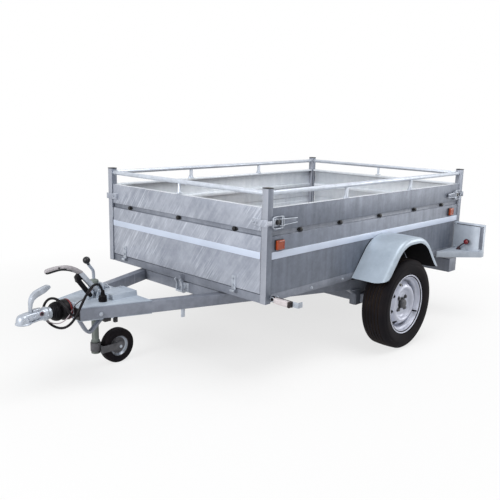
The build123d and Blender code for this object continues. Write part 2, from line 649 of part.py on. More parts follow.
def jockey_tube():
    """The outer tube, closed at its top, with the leg's running clearance inside."""
    z0, z1 = JOCKEY_TUBE_Z
    return jockey_rod(z0, z1 - 3, TUBE_R, LEG_R + 0.8) + jockey_rod(z1 - 3, z1, TUBE_R)


def crank_arm():
    """The winding handle's bent bar on top of the jockey tube."""
    top = JOCKEY_TUBE_Z[1]
    path = FilletPolyline((JOCKEY_X, JOCKEY_Y, top), (JOCKEY_X, JOCKEY_Y, top + 24),
                          (JOCKEY_X, JOCKEY_Y - 22, top + 40), (JOCKEY_X, JOCKEY_Y - 50, top + 80), radius=14)
    return sweep(Plane(origin=path @ 0, z_dir=path % 0) * Circle(7), path)


def crank_knob():
    """The ball knob, drilled for the bar's end."""
    half = [(KNOB_R * sin(radians(a)), KNOB_R * cos(radians(a))) for a in range(0, 181, 30)]
    ball = Plane.XZ * make_face(Polyline(*half, close=True))
    centre = Pos(JOCKEY_X, JOCKEY_Y - 58, JOCKEY_TUBE_Z[1] + 98)
    return centre * revolve(ball, Axis.Z) - crank_arm()


def jockey_rod(z0, z1, radius, bore=0.0):
    """A bar or tube about the jockey wheel's upright axis."""
    return rod((JOCKEY_X, JOCKEY_Y, z0), (JOCKEY_X, JOCKEY_Y, z1), radius, bore)


def jockey_leg():
    stop = jockey_rod(88, 96, LEG_R + 5)
    collar = jockey_rod(FORK_Z[1] + 6, FORK_Z[1] + 12, LEG_R + 5, LEG_R - 1)
    return jockey_rod(92, 380, LEG_R, LEG_R - 4) + stop + collar


def jockey_fork():
    """A swivelling ring with two arms that trail back to the wheel's pin."""
    z0, z1 = FORK_Z
    axle_y = JOCKEY_Y + JOCKEY_TRAIL
    ring = jockey_rod(z0 - 10, z1, LEG_R + 9, LEG_R + 0.5)
    arms = block((JOCKEY_X - 38, JOCKEY_X + 38), (JOCKEY_Y + 16, axle_y + 14), (z0 - 26, z1 - 24))
    arms -= block((JOCKEY_X - 33, JOCKEY_X + 33), (JOCKEY_Y + 30, axle_y + 20), (z0 - 30, z1))
    arms -= jockey_rod(z0 - 40, z1 + 1, LEG_R + 8)
    pin = rod((JOCKEY_X - 42, axle_y, JOCKEY_R), (JOCKEY_X + 42, axle_y, JOCKEY_R), JOCKEY_PIN_R)
    return ring + arms + pin


def jockey_wheel():
    """A solid rubber tyre on a dished hub."""
    bore = JOCKEY_PIN_R + 0.1
    half = [(26, bore), (26, 24), (16, 24), (16, 60), (26, 60), (26, 92), (20, JOCKEY_R)]
    outline = half + [(-x, r) for x, r in reversed(half)]
    return turned(Polyline(*outline, close=True), (JOCKEY_X, JOCKEY_Y + JOCKEY_TRAIL, JOCKEY_R))


# --- cords --------------------------------------------------------------------------------

def cord(route, radius):
    """A tube through a route's points, each corner an arc as large as its two runs allow."""
    points = [Vector(*p) for p in route]
    radii = []
    for before, here, after in zip(points, points[1:], points[2:]):
        run = min((here - before).length, (after - here).length)
        turn = (here - before).get_angle(after - here)
        radii.append(0.45 * run / tan(radians(turn / 2)))
    path = FilletPolyline(*points, radius=radii)
    solid = sweep(Plane(origin=path @ 0, z_dir=path % 0) * Circle(radius), path)
    print(f"cord length {solid.volume / (pi * radius ** 2):.1f}, tightest bend {min(radii):.1f}")
    return solid


def cable_plug():
    x, y, z = CABLE_ROUTE[-1]
    return rod((x, y, z - 36), (x, y, z - 10), 20) + rod((x, y, z - 10), (x, y, z - 1.5), 12)


def plug_holder():
    """The parking cup on the housing, into which the plug is pushed."""
    x, y, z = CABLE_ROUTE[-1]
    return rod((x, y, BEAM_TOP + HOUSING_PLATE), (x, y, z - 36), 22)


# --- nodes --------------------------------------------------------------------------------
HANDED = {"tyre": tyre, "rim": rim, "hub": hub, "fender": fender, "side_panel": side_panel,
          "lamp_board": lamp_board, "drawbar": drawbar_beam, "axle_bracket": axle_bracket,
          "trailing_arm": trailing_arm}
for node, make in HANDED.items():
    left = make()
    put(f"{node}_left", left)
    put(f"{node}_right", mirrored(left))

front_latch = panel_latch()
rear_latch = Pos(0, POST_FRONT + POST_BACK, 0) * mirror(front_latch, Plane.XZ)
PAIRED = {"rear_lamps": [rear_lamp()], "rear_bar_hangers": [rear_bar_hanger()], "stalk_lamps": [stalk_lamp()],
          "beam_caps": [beam_cap()], "side_lamps": [side_lamp(y0, y1) for y0, y1 in SIDE_LAMPS],
          "panel_latches": [front_latch, rear_latch]}
for node, lefts in PAIRED.items():
    put(node, *lefts, *[mirrored(solid) for solid in lefts])

GATES = (("front_panel", SKIN_FRONT, -1, FRONT_HINGES, GATE_FRONT_Y, POST_FRONT),
         ("tail_panel", SKIN_BACK, 1, REAR_HINGES, GATE_BACK_Y, POST_BACK))
for node, face, sign, hinges, hinge_y, post_face in GATES:
    gate = gate_panel(face, sign)
    for x in hinges:
        gate += hinge_strap(x, face, sign, hinge_y)
    strap = gate_strap(face, sign, post_face)
    put(node, gate + strap + mirrored(strap))

POST_XY = [(x, y) for x in (-BED_X, BED_X - POST) for y in (POST_FRONT, POST_BACK - POST)]
put("corner_posts", *[post(x, y) for x, y in POST_XY])
put("post_caps", *[block((x - 1, x + POST + 1), (y - 1, y + POST + 1), (POST_TOP, POST_TOP + CAP))
                   for x, y in POST_XY])
put("bed_floor", block((-654, 654), (POST_FRONT + POST, POST_BACK - POST), (FRAME_TOP, FRAME_TOP + FLOOR_T)))

half_post = POST / 2
rail_x = BED_X - half_post
front_y, back_y = POST_FRONT + half_post, POST_BACK - half_post
rail_end = rail_x - half_post - JOIN
rail_y = (front_y + half_post + JOIN, back_y - half_post - JOIN)
left_rail = tube_rail((rail_x, rail_y[0], RAIL_Z), (rail_x, rail_y[1], RAIL_Z),
                      [(rail_x, -396), (rail_x, 307)], PANEL_TOP)
put("rail_left", left_rail)
put("rail_right", mirrored(left_rail))
for node, y, foot_x in (("rail_front", front_y, -10), ("rail_rear", back_y, -7)):
    put(node, tube_rail((-rail_end, y, RAIL_Z), (rail_end, y, RAIL_Z), [(foot_x, y)], PANEL_TOP + GATE_GAP))

lever, grip, strut = handbrake()
SINGLE = {"bed_frame": bed_frame(), "rear_bar": rear_bar(), "front_marker": front_marker(),
          "front_marker_lamp": front_marker_lamp(), "drawbar_crossbeam": crossbeam(),
          "overrun_housing": overrun_housing(), "overrun_bellows": bellows(),
          "coupling_head": coupling_head(), "coupling_handle": coupling_handle(), "handbrake_lever": lever,
          "handbrake_grip": grip, "handbrake_strut": strut, "guide_loop": guide_loop(),
          "brake_rod": brake_rod(), "axle_tube": axle_tube(), "bed_latch": bed_latch(),
          "jockey_clamp": jockey_clamp(), "jockey_tube": jockey_tube(),
          "jockey_crank": crank_arm(), "crank_knob": crank_knob(), "jockey_leg": jockey_leg(),
          "jockey_fork": jockey_fork(), "jockey_wheel": jockey_wheel(), "cable_plug": cable_plug(),
          "plug_holder": plug_holder(), "lighting_cable": cord(CABLE_ROUTE, CABLE_R),
          "breakaway_cable": cord(BREAK_ROUTE, BREAK_R)}
for node, solid in SINGLE.items():
    put(node, solid)
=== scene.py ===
import bmesh
import bpy
import json
from math import atan2, cos, hypot, pi, radians, sin
from bpy.props import FloatProperty, FloatVectorProperty, PointerProperty
from mathutils import Matrix, Vector

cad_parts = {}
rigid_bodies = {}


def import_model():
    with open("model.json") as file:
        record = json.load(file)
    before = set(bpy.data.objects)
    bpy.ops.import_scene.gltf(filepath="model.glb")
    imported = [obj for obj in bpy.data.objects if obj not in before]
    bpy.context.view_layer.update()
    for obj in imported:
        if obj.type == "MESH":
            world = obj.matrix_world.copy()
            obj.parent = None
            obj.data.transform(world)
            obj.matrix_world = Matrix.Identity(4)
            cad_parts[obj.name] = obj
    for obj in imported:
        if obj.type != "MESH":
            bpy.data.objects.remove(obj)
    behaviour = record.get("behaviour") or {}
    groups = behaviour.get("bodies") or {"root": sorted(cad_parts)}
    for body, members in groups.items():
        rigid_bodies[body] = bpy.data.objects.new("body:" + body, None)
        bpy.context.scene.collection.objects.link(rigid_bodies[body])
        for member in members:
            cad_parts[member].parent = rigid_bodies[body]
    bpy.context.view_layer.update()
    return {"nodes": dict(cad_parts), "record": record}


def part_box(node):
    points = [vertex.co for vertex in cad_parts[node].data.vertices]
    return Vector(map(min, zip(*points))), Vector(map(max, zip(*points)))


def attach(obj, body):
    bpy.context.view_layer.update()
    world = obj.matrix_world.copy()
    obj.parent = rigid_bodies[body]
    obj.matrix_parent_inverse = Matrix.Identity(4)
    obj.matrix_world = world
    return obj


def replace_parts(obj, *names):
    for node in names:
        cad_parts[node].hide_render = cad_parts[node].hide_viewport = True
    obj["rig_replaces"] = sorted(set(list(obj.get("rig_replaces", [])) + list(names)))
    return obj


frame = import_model()

bl_info = {
    "name": "Galvanised Utility Trailer",
    "version": (1, 0, 0),
    "blender": (4, 5, 0),
    "location": "3D View > Sidebar > Trailer",
    "description": "Finishes, cords and pressed pieces of a galvanised utility trailer around its frame",
    "category": "Object",
}

BODY_OF = {node: body for body, nodes in frame["record"]["behaviour"]["bodies"].items() for node in nodes}
SLOT_OF = {part["node"]: part["material_slot"] for part in frame["record"]["subparts"]}
MM = 0.001
AXLE_Y = sum(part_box("tyre_left"), Vector()).y / 2      # the wheel axis, from which places along it count


# --- colours and materials ----------------------------------------------------------------
def linear(hex_colour):
    """An sRGB hex colour as linear red, green and blue."""
    channels = [int(hex_colour[i:i + 2], 16) / 255 for i in (1, 3, 5)]
    return tuple(c / 12.92 if c <= 0.04045 else ((c + 0.055) / 1.055) ** 2.4 for c in channels)


def colour(name, description, hex_colour):
    """A colour that a user can change, given as sRGB hex."""
    return FloatVectorProperty(name=name, description=description, subtype="COLOR", size=3, min=0, max=1,
                               default=linear(hex_colour))


def length(name, description, millimetres):
    """A size that a user can change, given in millimetres."""
    return FloatProperty(name=name, description=description, unit="LENGTH", min=0, default=millimetres * MM)


class TrailerLooks(bpy.types.PropertyGroup):
    """Colours of the trailer's finishes"""
    zinc_pale: colour("Pale zinc", "Lightest patches of the gates' galvanised sheet", "#A6ABB7")
    zinc_dark: colour("Dark zinc", "Darkest patches of the gates' galvanised sheet", "#7B818E")
    # The side panels' colours are the gates' zinc made darker: painted shade of the sides, which face away
    # from the light.
    shaded_side_pale: colour("Pale side", "Lightest patches of the side panels", "#7B8290")
    shaded_side_dark: colour("Dark side", "Darkest patches of the side panels", "#585E6A")
    guard_pale: colour("Pale mudguard", "Lightest patches of the mudguards", "#B0BCC8")
    guard_dark: colour("Dark mudguard", "Darkest patches of the mudguards", "#929EAB")
    # The raised band's pale blue-white is a painted reflection of the sky on its upturned face.
    band: colour("Raised band", "Smooth rolled band along the panels", "#C4CEE0")
    beam_pale: colour("Pale beam", "Lightest marks on the hot-dipped beams", "#888D99")
    beam_dark: colour("Dark beam", "Darkest marks on the hot-dipped beams", "#5A5F6A")
    post_pale: colour("Pale post", "Lightest marks on the corner posts", "#A0A4AE")
    tube: colour("Rail tube", "Bright tube of the top rails", "#C6CDD8")
    fitting: colour("Zinc plate", "Bright plated fittings", "#B4BBC6")
    rim: colour("Rim enamel", "Silver enamel of the wheel rims", "#C0C4D2")
    tyre: colour("Tyre rubber", "Vulcanised tyre rubber", "#121014")
    dust: colour("Road dust", "Dust in the tread and on the rubber", "#4B4038")
    rubber: colour("Black rubber", "Gaiter, cable sheath and plug", "#0A080D")
    plastic: colour("Black plastic", "Post caps, rope hooks and knob", "#151518")
    grip: colour("Grip", "Moulded grip of the handbrake", "#A09CA0")
    red_lens: colour("Red lens", "Rear and marker lenses", "#74101C")
    amber_lens: colour("Amber lens", "Side marker lenses", "#9C3A0A")
    clear_lens: colour("Clear lens", "Front marker and the clear chambers behind", "#C9C2C4")
    board: colour("Floor board", "Film on the plywood floor", "#5A4436")


class TrailerSizes(bpy.types.PropertyGroup):
    """Sizes of the trailer's fine detail"""
    edge: length("Edge radius", "Rounding of folded and cut sheet edges", 1.2)
    tread: length("Tread depth", "Depth of the tyre's grooves", 7.0)
    spangle: length("Spangle", "Size of the zinc crystals, drawn coarse enough to show", 14.0)


def add(tree, kind, sockets=None, **settings):
    """Adds a shader node: settings are its properties, sockets are values or other nodes' outputs."""
    made = tree.nodes.new(kind)
    for name, value in settings.items():
        setattr(made, name, value)
    for name, value in (sockets or {}).items():
        socket = made.inputs[name]
        if isinstance(value, bpy.types.NodeSocket):
            tree.links.new(value, socket)
        else:
            socket.default_value = (*value, 1.0) if socket.type == "RGBA" else value
    return made


def finish(name):
    """One of the materials made here; the CAD's own materials keep their names to themselves."""
    return bpy.data.materials["finish_" + name]


def new_material(name, sockets):
    """A material with one Principled shader; gives the material, its node tree and the shader."""
    material = bpy.data.materials.new("finish_" + name)
    material.use_nodes = True
    tree = material.node_tree
    tree.nodes.clear()
    shader = add(tree, "ShaderNodeBsdfPrincipled", sockets)
    add(tree, "ShaderNodeOutputMaterial", {"Surface": shader.outputs["BSDF"]})
    return material, tree, shader


def position(tree):
    """Where a point lies in the trailer's frame, in metres."""
    return add(tree, "ShaderNodeTexCoord").outputs["Object"]


def noise(tree, where, size, detail=4.0, turn=(0, 0, 0)):
    """A noise value whose patches have a size in metres along each axis, turned by angles."""
    spread = add(tree, "ShaderNodeMapping", {"Vector": where, "Scale": size, "Rotation": turn},
                 vector_type="TEXTURE")
    place = spread.outputs["Vector"]
    return add(tree, "ShaderNodeTexNoise", {"Vector": place, "Scale": 1.0, "Detail": detail}).outputs["Fac"]


def patches(tree, where, size, detail=4.0):
    """A noise value of even patches, its middle stretched over the whole span from 0 to 1."""
    return reach(tree, noise(tree, where, even(size), detail), 0.3, 0.7)


def even(size):
    """The same size along all three axes."""
    return (size, size, size)


def reach(tree, value, low, high, to_low=0.0, to_high=1.0):
    """A value stretched from one span to another and kept inside it."""
    made = add(tree, "ShaderNodeMapRange", {"Value": value, "From Min": low, "From Max": high,
                                            "To Min": to_low, "To Max": to_high})
    return made.outputs["Result"]


def blended(tree, factor, first, second):
    """A colour between two colours, each a value or another node's output."""
    made = add(tree, "ShaderNodeMix", data_type="RGBA")
    tree.links.new(factor, made.inputs[0])
    for socket, value in ((made.inputs[6], first), (made.inputs[7], second)):
        if isinstance(value, bpy.types.NodeSocket):
            tree.links.new(value, socket)
        else:
            socket.default_value = (*value, 1.0)
    return made.outputs[2]


def combined(tree, first, second, operation):
    """Two values put together by one operation of a Math node."""
    return add(tree, "ShaderNodeMath", {0: first, 1: second}, operation=operation).outputs[0]


def total(tree, *weighted):
    """The sum of values, each with its weight."""
    result = 0.0
    for value, weight in weighted:
        step = add(tree, "ShaderNodeMath", {0: value, 1: weight, 2: result}, operation="MULTIPLY_ADD")
        result = step.outputs[0]
    return result


def bumped(tree, shader, height, distance, strength=1.0):
    """Fine relief under the light, its height in metres."""
    bump = add(tree, "ShaderNodeBump", {"Height": height, "Distance": distance, "Strength": strength})
    tree.links.new(bump.outputs["Normal"], shader.inputs["Normal"])


def surfaced(tree, shader, skin, roughness):
    """Links a shader's colour and its roughness."""
    tree.links.new(skin, shader.inputs["Base Color"])
    tree.links.new(roughness, shader.inputs["Roughness"])


# Patterns of the zinc, in metres: broad clouds, fine mottling, long drips down the metal and slanting scuffs.
CLOUD = 0.2
MOTTLE = 0.045
DRIP = (0.035, 0.035, 0.6)
SCUFF_TURN = (0, radians(-53), 0)


def darker(tint, share):
    """A colour with a share of its brightness."""
    return tuple(channel * share for channel in tint)


def galvanised(name, pale, dark, spangle, runs=0.3, metallic=0.25, roughness=0.45, scuffs=0.0):
    """Hot-dip galvanised steel: zinc crystals of slightly different greys, cloudy patches, drip marks down
    the metal and a satin sheen, rougher on the duller crystals. Scuffs are hatches of bright rubbed lines."""
    _, tree, shader = new_material(name, {"Metallic": metallic})
    where = position(tree)
    crystals = add(tree, "ShaderNodeTexVoronoi", {"Vector": where, "Scale": 1 / spangle, "Randomness": 1.0})
    crystal = add(tree, "ShaderNodeSeparateColor", {"Color": crystals.outputs["Color"]}).outputs["Red"]
    clouds = patches(tree, where, CLOUD, 6.0)
    mottle = patches(tree, where, MOTTLE)
    drips = reach(tree, noise(tree, where, DRIP, 3.0), 0.3, 0.7)
    tone = total(tree, (crystal, 0.12), (mottle, 0.25), (clouds, 0.63 - runs), (drips, runs))
    skin = blended(tree, tone, dark, pale)
    if scuffs:
        hatch = reach(tree, noise(tree, where, (0.16, 1.0, 0.0075), 3.0, SCUFF_TURN), 0.5, 0.68)
        patch = reach(tree, noise(tree, where, (0.3, 1.0, 0.22), 2.0), 0.44, 0.6, 0.12, 1.0)
        broad = reach(tree, noise(tree, where, (0.22, 1.0, 0.03), 3.0, SCUFF_TURN), 0.45, 0.75)
        worn = total(tree, (combined(tree, hatch, patch, "MULTIPLY"), scuffs), (broad, scuffs * 0.4))
        skin = blended(tree, worn, skin, linear("#DDE2EC"))
    surfaced(tree, shader, skin, reach(tree, tone, 0.1, 0.9, roughness + 0.1, roughness - 0.08))
    grain = noise(tree, where, even(0.003), 3.0)
    bumped(tree, shader, total(tree, (grain, 0.5), (mottle, 0.5)), 0.12 * MM, 0.4)


def plated(name, tint, roughness=0.3, metallic=0.5, marks=0.3, cloud=0.04):
    """Zinc-plated, drawn or enamelled steel: smooth, with soft clouding where it has been handled."""
    _, tree, shader = new_material(name, {"Metallic": metallic})
    clouds = patches(tree, position(tree), cloud, 5.0)
    skin = blended(tree, clouds, darker(tint, 1 - marks), tint)
    surfaced(tree, shader, skin, reach(tree, clouds, 0.0, 1.0, roughness + 0.15, roughness))


def rubber(name, tint, dust, roughness=0.7, dusting=0.3, specular=0.2):
    """Vulcanised or moulded rubber: near black, dull, with a film of dust in its hollows."""
    _, tree, shader = new_material(name, {"Specular IOR Level": specular})
    where = position(tree)
    film = reach(tree, noise(tree, where, even(0.1), 5.0), 0.45, 0.8, 0.0, dusting)
    skin = blended(tree, film, tint, dust)
    surfaced(tree, shader, skin, reach(tree, film, 0.0, 0.5, roughness, roughness + 0.15))
    bumped(tree, shader, noise(tree, where, even(0.0012), 2.0), 0.1 * MM, 0.4)


def plastic(name, tint, roughness=0.35, grain=0.0, coat=0.0):
    """Injection-moulded plastic: even, faintly mottled, its gloss set by the mould. The grain is in mm."""
    _, tree, shader = new_material(name, {"Roughness": roughness, "Coat Weight": coat, "IOR": 1.5,
                                          "Specular IOR Level": 0.35})
    where = position(tree)
    mottle = patches(tree, where, 0.02, 3.0)
    tree.links.new(blended(tree, mottle, darker(tint, 0.8), tint), shader.inputs["Base Color"])
    if grain:
        bumped(tree, shader, noise(tree, where, even(0.0008), 2.0), grain * MM, 0.5)


def sheathed(name, dark, pale):
    """Steel wire in a clear plastic sheath, grimy along its upper run and pale where it hangs free."""
    _, tree, shader = new_material(name, {"Roughness": 0.45, "Specular IOR Level": 0.3})
    height = add(tree, "ShaderNodeSeparateXYZ", {"Vector": position(tree)}).outputs["Z"]
    grime = reach(tree, height, 0.40, 0.45)
    tree.links.new(blended(tree, grime, pale, dark), shader.inputs["Base Color"])


def plywood(name, tint):
    """Film-faced plywood: dark brown phenolic film with a faint wire mesh pressed in."""
    _, tree, shader = new_material(name, {"Roughness": 0.5})
    where = position(tree)
    grain = reach(tree, noise(tree, where, (0.2, 0.025, 0.2), 6.0), 0.3, 0.7)
    tree.links.new(blended(tree, grain, darker(tint, 0.6), tint), shader.inputs["Base Color"])
    mesh = add(tree, "ShaderNodeTexBrick", {"Vector": where, "Scale": 120.0})
    bumped(tree, shader, mesh.outputs["Fac"], 0.3 * MM, 0.4)


def make_materials(looks, sizes):
    """One finish for each of the record's slots, and the extra finishes of the pieces that are added."""
    grain = sizes.spangle

    def shade(name):
        return tuple(getattr(looks, name))
    # Thick hot-dipped sections: an even matt grey with hardly a run; the posts are a shade paler.
    galvanised("galvanised_beam", shade("beam_pale"), shade("beam_dark"), grain, runs=0.1)
    galvanised("post_tube", shade("post_pale"), shade("beam_pale"), grain, runs=0.2)
    # Sheet of the side panels: long drip marks, and darker than the gates' sheet of the same zinc, a painted
    # shade of the sides. The front gate's sheet is paler and scratched on the slant.
    galvanised("zinc_sheet", shade("shaded_side_pale"), shade("shaded_side_dark"), grain, runs=0.35)
    galvanised("scuffed_sheet", shade("zinc_pale"), shade("zinc_dark"), grain, runs=0.15, scuffs=0.38)
    # The same sheet: darker in the sunk groove, a painted shade of its downward face; paler on the housing
    # and the lamp boards; near white on the inside and on upward faces, painted light.
    galvanised("groove_sheet", linear("#8F949F"), shade("shaded_side_dark"), grain, runs=0.2)
    galvanised("housing_sheet", linear("#B2BCC8"), linear("#8E98A5"), grain, runs=0.1)
    galvanised("inner_sheet", linear("#E8EDF2"), linear("#C6CDD6"), grain, runs=0.3, metallic=0.3,
               roughness=0.4)
    galvanised("lamp_sheet", linear("#B4BCC6"), linear("#939BA7"), grain, runs=0.2)
    # Pressed mudguards: smoother and bluer than the panels, with a soft highlight along the bend.
    galvanised("pressed_sheet", shade("guard_pale"), shade("guard_dark"), grain, runs=0.15, roughness=0.36)
    # Bright steel: the rolled band has a clear sheen and a pale blue-white that is a painted reflection of
    # the sky on its upturned face; the drawn rail tube has a clear sheen too, fittings are dulled by hands.
    plated("rolled_band", shade("band"), roughness=0.34, metallic=0.25, marks=0.12, cloud=0.15)
    plated("rail_tube", shade("tube"), roughness=0.34, metallic=0.35, marks=0.2)
    plated("zinc_fitting", shade("fitting"), roughness=0.3, metallic=0.45, marks=0.35)
    # Enamelled rims, the jockey wheel's greyed steel and olive tube, and the dark cast drums. The greyed
    # steel and the dark cast also darken the wheel's cap, bolt heads and bolt seats: painted shade in the
    # sunk bowl.
    plated("rim_paint", shade("rim"), roughness=0.34, metallic=0.25, marks=0.15)
    plated("jockey_steel", linear("#5C5C60"), roughness=0.45, metallic=0.4, marks=0.45)
    plated("jockey_tube", linear("#6E7571"), roughness=0.45, metallic=0.3, marks=0.3)
    plated("cast_drum", linear("#2A292C"), roughness=0.6, metallic=0.2, marks=0.4)
    # Rubber: dull tyres with brown dust in the grooves, a satin gaiter, and a flat near-black that is
    # undercoat under the mudguards and painted shade there, in the wheel arches and inside the wheels.
    rubber("tyre_rubber", shade("tyre"), shade("dust"), roughness=0.75, dusting=0.1, specular=0.1)
    rubber("black_rubber", shade("rubber"), shade("dust"), roughness=0.45, dusting=0.04, specular=0.14)
    rubber("tread_dust", linear("#2E2621"), shade("dust"), roughness=0.85, dusting=0.9, specular=0.1)
    rubber("undercoat", linear("#131216"), shade("dust"), roughness=0.85, dusting=0.06, specular=0.1)
    # Moulded plastic: grained and satin where hands go, glossy and coated on the lenses.
    plastic("black_plastic", shade("plastic"), roughness=0.4, grain=0.1)
    plastic("grip_plastic", shade("grip"), roughness=0.42, grain=0.1)
    plastic("lamp_red", shade("red_lens"), roughness=0.15, coat=0.6)
    plastic("lamp_amber", shade("amber_lens"), roughness=0.2, coat=0.4)
    plastic("lamp_white", shade("clear_lens"), roughness=0.15, coat=0.6)
    plastic("lamp_housing", linear("#241C1C"), roughness=0.45, grain=0.1)
    plastic("lamp_foot", linear("#32141E"), roughness=0.5)
    plastic("red_band", linear("#6A141C"), roughness=0.45)
    plastic("wear_button", linear("#8E5F70"), roughness=0.4)
    # The breakaway cable's sheathed wire and the brown film of the floor.
    sheathed("red_cord", linear("#2A1A1E"), linear("#A2969C"))
    plywood("floor_board", shade("board"))


# --- modelling helpers --------------------------------------------------------------------
AXES = {"X": Vector((1, 0, 0)), "Y": Vector((0, 1, 0)), "Z": Vector((0, 0, 1))}


def at(x, y, z):
    """A place in millimetres, counted along the trailer from the wheel axis, in the frame's metres."""
    return Vector((x * MM, y * MM + AXLE_Y, z * MM))


def only(piece):
    """Makes a piece the active and only selected object."""
    bpy.ops.object.select_all(action="DESELECT")
    piece.select_set(True)
    bpy.context.view_layer.objects.active = piece


def placed(piece):
    """Puts a piece's place, turn and scale into its mesh."""
    only(piece)
    bpy.ops.object.transform_apply(location=True, rotation=True, scale=True)
    return piece


def start(kind, **settings):
    """Adds a primitive with nothing else selected."""
    bpy.ops.object.select_all(action="DESELECT")
    getattr(bpy.ops.mesh, f"primitive_{kind}_add")(**settings)
    return placed(bpy.context.object)


def edit(piece, chosen=None):
    """Opens a piece in edit mode with the faces that pass a test selected, or all of them."""
    only(piece)
    bpy.ops.object.mode_set(mode="EDIT")
    bpy.ops.mesh.select_mode(type="FACE")
    bpy.ops.mesh.select_all(action="DESELECT" if chosen else "SELECT")
    if chosen:
        mesh = bmesh.from_edit_mesh(piece.data)
        for face in mesh.faces:
            face.select_set(chosen(face))
        bmesh.update_edit_mesh(piece.data)


def closed():
    """Merges seams, turns the faces outwards and leaves edit mode."""
    bpy.ops.mesh.select_mode(type="VERT")
    bpy.ops.mesh.select_all(action="SELECT")
    bpy.ops.mesh.remove_doubles(threshold=0.01 * MM)
    bpy.ops.mesh.normals_make_consistent(inside=False)
    bpy.ops.object.mode_set(mode="OBJECT")
    return bpy.context.object


def apply_modifier(piece, kind, **settings):
    """Adds a modifier and applies it."""
    only(piece)
    modifier = piece.modifiers.new(kind.title(), kind)
    for name, value in settings.items():
        setattr(modifier, name, value)
    bpy.ops.object.modifier_apply(modifier=modifier.name)
    return piece


def rounded(piece, edge, segments=2, angle=30):
    """Rounds a piece's sharp edges; the edge is in millimetres."""
    return apply_modifier(piece, "BEVEL", width=edge * MM, segments=segments, limit_method="ANGLE",
                          angle_limit=radians(angle))


def walled(piece, thickness):
    """Gives an open surface its thickness in millimetres, half to each side."""
    return apply_modifier(piece, "SOLIDIFY", thickness=thickness * MM, offset=0.0, use_even_offset=True)


def traced(points):
    """A line of edges through points, drawn vertex by vertex and left in edit mode."""
    piece = start("plane", size=MM, location=points[0])
    edit(piece)
    bpy.ops.mesh.select_mode(type="VERT")
    bpy.ops.mesh.merge(type="CENTER")
    for before, here in zip(points, points[1:]):
        bpy.ops.mesh.extrude_vertices_move(TRANSFORM_OT_translate={"value": here - before})
    bpy.ops.mesh.select_all(action="SELECT")
    return piece


def turned(section, centre=None, axis="X", steps=64):
    """A section of (along, radius) millimetres spun about an axis through a centre, or through the origin."""
    along, middle = AXES[axis], at(*centre) if centre else Vector()
    out = AXES["X"] if axis == "Z" else AXES["Z"]
    traced([middle + (along * a + out * r) * MM for a, r in section])
    bpy.ops.mesh.spin(steps=steps, angle=2 * pi, center=middle, axis=along)
    return closed()


def slab(outline, depth, edge=0.6):
    """A plate: an outline in millimetres, filled and extruded by a depth along one axis."""
    traced([at(*point) for point in outline])
    bpy.ops.mesh.edge_face_add()
    bpy.ops.mesh.extrude_region_move(TRANSFORM_OT_translate={"value": Vector(depth) * MM})
    return rounded(closed(), edge) if edge else closed()


def brick(low, high, edge=1.0, segments=2):
    """A block between two corners in millimetres, its edges rounded."""
    a, b = at(*low), at(*high)
    piece = start("cube", size=1, location=(a + b) / 2, scale=b - a)
    return rounded(piece, edge, segments) if edge else piece


def sunk(piece, outward, margin, depth):
    """Insets the faces that look one way and pushes their middles in; both sizes are in millimetres."""
    edit(piece, lambda face: face.normal.dot(outward) > 0.95)
    bpy.ops.mesh.inset(thickness=margin * MM)
    bpy.ops.mesh.extrude_region_move(TRANSFORM_OT_translate={"value": -Vector(outward) * depth * MM})
    return closed()


def bolt(place, axis, radius=8.0, height=7.0, sign=1):
    """A washer and a hexagon head on it, its top chamfered, standing out along an axis."""
    top = height + 2
    profile = [(0, 0), (0, radius * 1.35), (1.6, radius * 1.35), (2, radius * 1.25), (2, radius * 0.9)]
    washer = turned([(sign * a, r) for a, r in profile], place, axis, 20)
    turn = {"X": (0, pi / 2, 0), "Y": (pi / 2, 0, 0), "Z": (0, 0, 0)}[axis]
    middle = at(*place) + AXES[axis] * sign * (1 + top / 2) * MM
    head = start("cylinder", vertices=6, radius=radius * MM, depth=(top - 1) * MM, location=middle,
                 rotation=turn)
    edit(head, lambda face: face.normal.dot(AXES[axis]) * sign > 0.9)
    bpy.ops.mesh.extrude_region_move(TRANSFORM_OT_translate={"value": AXES[axis] * sign * 0.8 * MM})
    bpy.ops.transform.resize(value=(0.84, 0.84, 0.84))
    return joined(washer, closed())


def joined(*pieces):
    """Several pieces as one, with the name of the first."""
    only(pieces[0])
    for piece in pieces:
        piece.select_set(True)
    bpy.ops.object.join()
    return pieces[0]


def copied(piece, offset=(0, 0, 0)):
    """A copy of a piece with its own mesh, moved by an offset in millimetres."""
    only(piece)
    bpy.ops.object.duplicate(linked=False)
    bpy.context.object.location = Vector(offset) * MM
    return placed(bpy.context.object)


def mirrored(piece, axis="X"):
    """A copy on the trailer's other side, or with axis Y at the bed's other end."""
    copy = copied(piece)
    if axis == "X":
        copy.scale.x = -1
    else:
        copy.scale.y = -1
        copy.location.y = 2 * AXLE_Y + (POST_FRONT + POST_BACK) * MM
    edit(placed(copy))
    return closed()


def both_sides(piece):
    """A piece and its copy on the trailer's other side."""
    return joined(piece, mirrored(piece))


def both_ways(half):
    """A section's points and their mirror images, so that it is the same to both sides of its middle."""
    return half + [(-x, r) for x, r in reversed(half)]


def coated(piece, material):
    """Gives a piece one finish."""
    piece.data.materials.clear()
    piece.data.materials.append(finish(material))
    return piece


def painted(piece, material, chosen):
    """Adds a finish to a piece for the faces that pass a test."""
    piece.data.materials.append(finish(material))
    index = len(piece.data.materials) - 1
    for face in piece.data.polygons:
        if chosen(face):
            face.material_index = index
    return piece


def from_centre(place, centre):
    """How far a place lies along the axle from a centre and how far out from it, in millimetres."""
    away = (place - at(*centre)) / MM
    return away.x, hypot(away.y, away.z)


